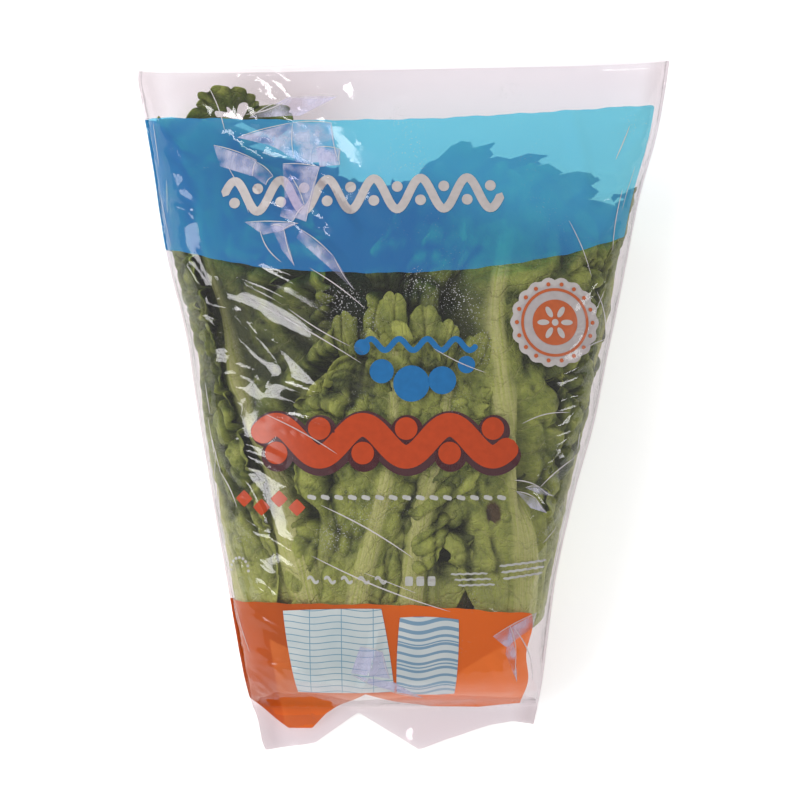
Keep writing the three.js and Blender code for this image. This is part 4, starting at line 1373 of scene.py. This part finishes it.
def crease(x0, y0, x1, y1, width, bow, count=24):
    """Line that tapers to both ends, with t from 0 to 1 along it: it bows aside by bow sin(pi t)."""
    t = np.linspace(0, 1, count)
    run = np.hypot(x1 - x0, y1 - y0)
    ux, uy = (x1 - x0) / run, (y1 - y0) / run
    aside = bow * np.sin(np.pi * t)
    x = x0 + (x1 - x0) * t - aside * uy
    y = y0 + (y1 - y0) * t + aside * ux
    half = width / 2 * np.sin(np.pi * t) ** 0.5 + 0.02
    side = np.linspace(-1, 1, 3)[None, :] * half[:, None]
    return ink_wall(x[:, None] - uy * side, y[:, None] + ux * side, CREASE_LIFT)


def flank_crease(y0, turn0, run, lean, width, count=18):
    """Crease down a flank of the sleeve, just outside it: lean and width are measured along its section."""
    t = np.linspace(0, 1, count)[:, None]
    level = y0 - run * t
    side = np.linspace(-1, 1, 3)[None, :] * (width / 2 * np.sin(np.pi * t) ** 0.5 + 0.02)
    x, z = sleeve_point(level, turn0 + (lean * t + side) / girth(level))
    edge = np.minimum(x - seam_left(level), seam_right(level) - x)
    z = z + fold_height(x, level) * smoothstep(0, 10, edge)
    points = np.stack([x, level + MOUTH_LEAN * x * np.maximum(0, level) / MOUTH_Y, z], -1)
    normal = grid_normals(points)
    place = dict(sheet_x=x, sheet_y=level + 0 * x)
    return points + CREASE_FLANK_LIFT * normal, points + (CREASE_FLANK_LIFT - INK_WALL) * normal, place


rng = np.random.default_rng(9)
flank_creases = [
    flank_crease(
        rng.uniform(-140, 160),
        rng.choice([0.0, 0.5]) + rng.choice([1, -1]) * rng.uniform(0.004, 0.07),
        rng.uniform(8, 26), rng.normal(0, 4), rng.uniform(0.4, 0.8),
    )
    for _ in range(FLANK_CREASES)
]
white_creases_and_glints = [crease(*row) for row in CREASES]
white_creases_and_glints += [wall for wall in flank_creases if wall[0][..., 2].min() > FLANK_FOOT]
print("creases:", len(CREASES), "on the front and", len(white_creases_and_glints) - len(CREASES), "down the flanks")

# %% [markdown]
# Where a fold has been pressed down, the film lies in a small four-cornered facet, and a flat facet reflects
# a soft light as a pale sheet. That glare is painted: a thin pale patch with whitened lines along two of its
# sides. The glare is streaked by wrinkles: one noise, pulled long, makes the streaks, and a wider one lets
# the glare fade in and out.

# %% Painted glare on pressed facets
GLARE_FACET_LIFT = 0.45
GLARE_FACETS = np.array(  # the four corners of each, round in order; the first two lie on the fold
    [[(-104, 142), (-80, 133), (-82, 124), (-100, 130)], [(-91, 146), (-61, 154), (-60, 134), (-72, 141)],
     [(-61, 154), (-40, 154), (-36, 132), (-60, 131)], [(-66, 131), (-46, 129), (-53, 99), (-64, 103)],
     [(-85, 157), (-63, 169), (-37, 169), (-57, 158)], [(-72, 97), (-65, 96), (-59, 75), (-66, 84)],
     [(-80, 132), (-71, 124), (-75, 119), (-84, 126)], [(-48, 140), (-35, 139), (-35, 130), (-46, 129)],
     [(-62, 125), (-54, 108), (-60, 99), (-67, 102)], [(-86, 99), (-57, 98), (-66, 94), (-76, 92)],
     [(-56, 95), (-38, 80), (-27, 62), (-58, 90)], [(59, -45), (70, -49), (76, -57), (67, -54)],
     [(64, -43), (72, -43), (80, -48), (72, -47)], [(47, -123), (71, -111), (69, -119), (54, -129)],
     [(56, -117), (60, -134), (61, -150), (54, -133)], [(-29, -144), (-20, -149), (10, -159), (-6, -148)],
     [(-24, -128), (-12, -131), (-8, -146), (-29, -143)]], float
)


def glare_facet(corners, count=15):
    """Four-cornered patch on the film: a and b, from 0 to 1, share out its corners; its sides are hollow."""
    a, b = np.meshgrid(np.linspace(0, 1, count), np.linspace(0, 1, count))
    a, b = a + 0.25 * a * (1 - a) * (0.5 - b), b - 0.3 * b * (1 - b) * (0.5 - a)
    near = corners[0] * (1 - a)[..., None] + corners[1] * a[..., None]
    far = corners[3] * (1 - a)[..., None] + corners[2] * a[..., None]
    spot = near * (1 - b)[..., None] + far * b[..., None]
    return ink_wall(spot[..., 0], spot[..., 1], GLARE_FACET_LIFT)


def painted_glare_film():
    """Painted glare of a soft light on a pressed facet: a share of lavender white, streaked by wrinkles."""
    material, tree = new_material("painted_glare_film")
    place = node(tree, "TexCoord")
    slanted = {"Vector": (place, "Object"), "Rotation": (0, 0, 0.7), "Scale": (1, 0.25, 1)}
    pulled = node(tree, "Mapping", slanted)
    wrinkle = node(tree, "TexNoise", {"Vector": pulled, "Scale": each(4.5), "Detail": 5, "Distortion": 0.8})
    streaked = {"Value": wrinkle, "From Min": 0.35, "From Max": 0.68, "To Min": 0.55, "To Max": 1.1}
    patch = node(tree, "TexNoise", {"Vector": (place, "Object"), "Scale": each(13), "Detail": 2})
    faded = {"Value": patch, "From Min": 0.36, "From Max": 0.62, "To Min": 0.02, "To Max": 0.44}
    streak, fade = node(tree, "MapRange", streaked), node(tree, "MapRange", faded)
    share = node(tree, "Math", {0: streak, 1: fade}, operation="MULTIPLY")
    painted_glare = node(tree, "BsdfDiffuse", {"Color": linear("#e8e6fa")})
    clear = node(tree, "BsdfTransparent", {"Color": linear("#fbfaff")})
    both = node(tree, "MixShader", {0: share, 1: clear, 2: painted_glare})
    node(tree, "OutputMaterial", {"Surface": both})
    return material


for corners in GLARE_FACETS:
    white_creases_and_glints.append(crease(*corners[0], *corners[1], 0.45, 0.8))
    white_creases_and_glints.append(crease(*corners[1], *corners[2], 0.35, -0.8))
# Pale ink along the folds: partly whitened film, partly painted highlights.
printed("film_creases_and_glints", white_creases_and_glints, ink_material("whitened_and_glint_film", "#f2edef", 0.45))
printed("film_glare_facets", [glare_facet(corners) for corners in GLARE_FACETS], painted_glare_film())
print("pleats:", len(GLARE_FACETS))

# %% [markdown]
# A round seal stands at the right: a pale scalloped ground, a ring with beads and a filled middle in faded
# orange, and six petals round a dot in the middle. Each layer lies a little higher than the one below, as
# layers of ink do; the steps are coarser than real ink, because two inks closer together than a tenth of a
# millimetre would flicker into each other.

# %% Seal
SEAL_X, SEAL_Y, SEAL_BEADS = 80, 45, 18


def on_seal(radius, angle):
    """Point at a distance and an angle from the middle of the seal."""
    return SEAL_X + radius * np.cos(angle), SEAL_Y + radius * np.sin(angle)


ground = [disc(SEAL_X, SEAL_Y, 21.5, lift=0.2, count=25), ring(SEAL_X, SEAL_Y, 21, 3.2, SEAL_BEADS, 1.6, 0.22)]
printed("print_seal_ground", ground, ink_material("ink_white", "#cfc8c6", 0.12))
turns = TAU * np.arange(SEAL_BEADS) / SEAL_BEADS
seal = [ring(SEAL_X, SEAL_Y, 17.6, 1.5, lift=0.4), disc(SEAL_X, SEAL_Y, 12.2, lift=0.4)]
seal += [disc(*on_seal(20.6, angle), 1.1, lift=0.45, count=7) for angle in turns]
printed("print_seal", seal, ink_material("ink_faded_orange", "#cb6639", 0.1))
petals = [disc(*on_seal(6.4, angle), 3.2, 1.5, angle, lift=0.5, count=9) for angle in turns[::3]]
petals.append(disc(SEAL_X, SEAL_Y, 1.8, lift=0.5, count=9))
printed("print_seal_mark", petals, bpy.data.materials["ink_white"])
print("seal:", len(seal) - 2, "beads and", len(petals) - 1, "petals")

# %% [markdown]
# Below the ribbon are rows of small marks: dashes, a half ring of dots, short waves, blocks and fine rules.
# They fill the places that small print has on such a sleeve, but mean nothing. All are strokes and discs like
# the ones above, with fewer faces.

# %% Small marks
def dash(x, y, run, width, height, pitch, count, rise=0.0):
    """Short wavy stroke that starts at (x, y)."""
    return stroke(*wave(x, x + run, y, height, pitch, rise, count), width)


small = [dash(-52 + 7.2 * k, -48 - 0.02 * k, 4.8, 2.3, 0.25, 5, 12) for k in range(15)]
small += [disc(-89 + 5 * np.cos(a), -88 + 7 * np.sin(a), 0.8, count=5) for a in np.linspace(0, np.pi, 9)]
small += [dash(-52 + 9 * k, -92, 6, 1.5, 1.6, 6, 14) for k in range(5)]
small += [disc(2 + 6 * k, -92.5, 2.1, 2.6, corner=0.2, count=7) for k in range(3)]
small += [dash(24 + 2 * row, -89 - 3 * row, 20, 1.0, 0.2, 4, 24, rise=0.4) for row in range(3)]
small += [dash(50 + row, -85 - 3.4 * row, 26 - 2 * row, 1.2, 0.2, 4, 24, rise=2.6) for row in range(3)]
printed("print_small_marks", small, ink_material("ink_pale", "#d9d8d4", 0.3))
print("small marks:", len(small))

# %% [markdown]
# Two panels stand on the lower band. One is ruled with fine lines both ways, the other has two sets of
# stripes whose waves beat against each other. Both were pulled a little askew with the film, which skew and
# tilt give.

# %% Panels
ruled = disc(-35.5, -131.5, 27, 24, 0.03, corner=0.05, count=61, lift=0.35, skew=-0.12)
rules = [("sheet_y", 3.6, 0.5, 0.7), ("sheet_x", 17.0, 0.45, 0.0)]
printed("print_ruled_panel", [ruled], label_material("ruled_panel", "#aebfc4", "#4a86a4", rules))
striped = disc(12, -134, 16.4, 22.3, -0.04, corner=0.09, count=61, lift=0.35)
stripes = [("sheet_y", 4.4, 1.5, 1.3), ("sheet_y", 6.3, 0.8, 1.3)]
printed("print_striped_panel", [striped], label_material("striped_panel", "#b7c5cc", "#4680a6", stripes))

# %% [markdown]
# The camera looks straight down on the head, which lies on its back. An orthographic one would be simpler,
# but a lens 1.6 m away shows the near leaves a little larger, as an eye does. Its focal length follows from
# the width that the render has to span at the height of the side seams: sensor width x distance / width.

# %% Camera
VIEW_CENTRE = (-2.75 * MM, 3.6 * MM)
VIEW_WIDTH = 0.44
CAMERA_HEIGHT = 1.6  # above the seams
SEAM_LEVEL = 0.032
SENSOR_WIDTH = 36  # mm
camera_data = bpy.data.cameras.new("camera")
camera_data.sensor_width = SENSOR_WIDTH
camera_data.lens = SENSOR_WIDTH * CAMERA_HEIGHT / VIEW_WIDTH
camera = bpy.data.objects.new("camera", camera_data)
camera.location = (*VIEW_CENTRE, CAMERA_HEIGHT + SEAM_LEVEL)
bpy.context.collection.objects.link(camera)
bpy.context.scene.camera = camera
print("lens:", round(camera_data.lens, 1), "mm")

# %% [markdown]
# The head lies on a white floor that glows a little, so that it comes out white without more light on the
# head. Clear film shows only what it reflects, so the lights are placed for their reflections. Four soft
# boxes stand round the head: one beyond the mouth, a high one at the left whose long reflections make the
# streaks on the folds, and a low one on each side for the flanks. A weak white surround fills the shadows
# between the leaves.

# %% Floor and light
LIT_POINT = (0, 0, 0.04)  # middle of the head
FLOOR_HALF, FLOOR_GAP = 3, 0.0002
FLOOR_WHITE = {
    "Base Color": (0.9, 0.9, 0.9, 1),
    "Roughness": 0.9,
    "Emission Color": (1, 1, 1, 1),
    "Emission Strength": 0.52,
}
# Place in metres, width, height and power in watts.
SOFTBOXES = {
    "key_softbox": ((-0.33, 0.98, 0.86), 0.3, 0.34, 3.4),
    "fold_softbox": ((-0.9, -0.22, 0.98), 0.42, 0.5, 5.0),
    "left_softbox": ((-1.25, 0.35, 0.5), 0.3, 0.4, 2.6),
    "right_softbox": ((1.2, -0.1, 0.6), 0.22, 0.4, 1.7),
}
SURROUND_STRENGTH = 0.5


def softbox(name, place, width, height, power):
    """Area light that faces the middle of the head; its height lies in one plane with the upright."""
    data = bpy.data.lights.new(name, "AREA")
    data.shape, data.size, data.size_y, data.energy = "RECTANGLE", width, height, power
    light = bpy.data.objects.new(name, data)
    light.location = place
    light.rotation_euler = (Vector(LIT_POINT) - Vector(place)).to_track_quat("-Z", "Y").to_euler()
    bpy.context.collection.objects.link(light)


corners = [(-FLOOR_HALF, -FLOOR_HALF, 0), (FLOOR_HALF, -FLOOR_HALF, 0)]
corners += [(FLOOR_HALF, FLOOR_HALF, 0), (-FLOOR_HALF, FLOOR_HALF, 0)]
floor_mesh = bpy.data.meshes.new("floor")
floor_mesh.from_pydata(corners, [], [(0, 1, 2, 3)])
floor = bpy.data.objects.new("floor", floor_mesh)
floor.location = (0, 0, -FLOOR_GAP)
bpy.context.collection.objects.link(floor)
floor_material, floor_tree = new_material("white_floor")
floor_surface = node(floor_tree, "BsdfPrincipled", FLOOR_WHITE)
node(floor_tree, "OutputMaterial", {"Surface": floor_surface})
floor_mesh.materials.append(floor_material)
for name, (place, width, height, power) in SOFTBOXES.items():
    softbox(name, place, width, height, power)
world = bpy.data.worlds.new("studio")
world.use_nodes = True
world.node_tree.nodes["Background"].inputs["Color"].default_value = (1, 1, 1, 1)
world.node_tree.nodes["Background"].inputs["Strength"].default_value = SURROUND_STRENGTH
scene = bpy.context.scene
scene.world = world
scene.view_settings.view_transform = "Standard"
# A ray may cross many skins of film before it reaches a leaf, so it needs more than the usual eight.
scene.cycles.transparent_max_bounces = 32
print("soft lights:", len(SOFTBOXES))

# %% [markdown]
# Last, a function turns the corners of a box into plain lists. A blade or a fold may stand a few millimetres
# past its solid.

# %% Sizes
def plain(box):
    """Both corners of a box as plain lists."""
    return [list(map(float, corner)) for corner in box]
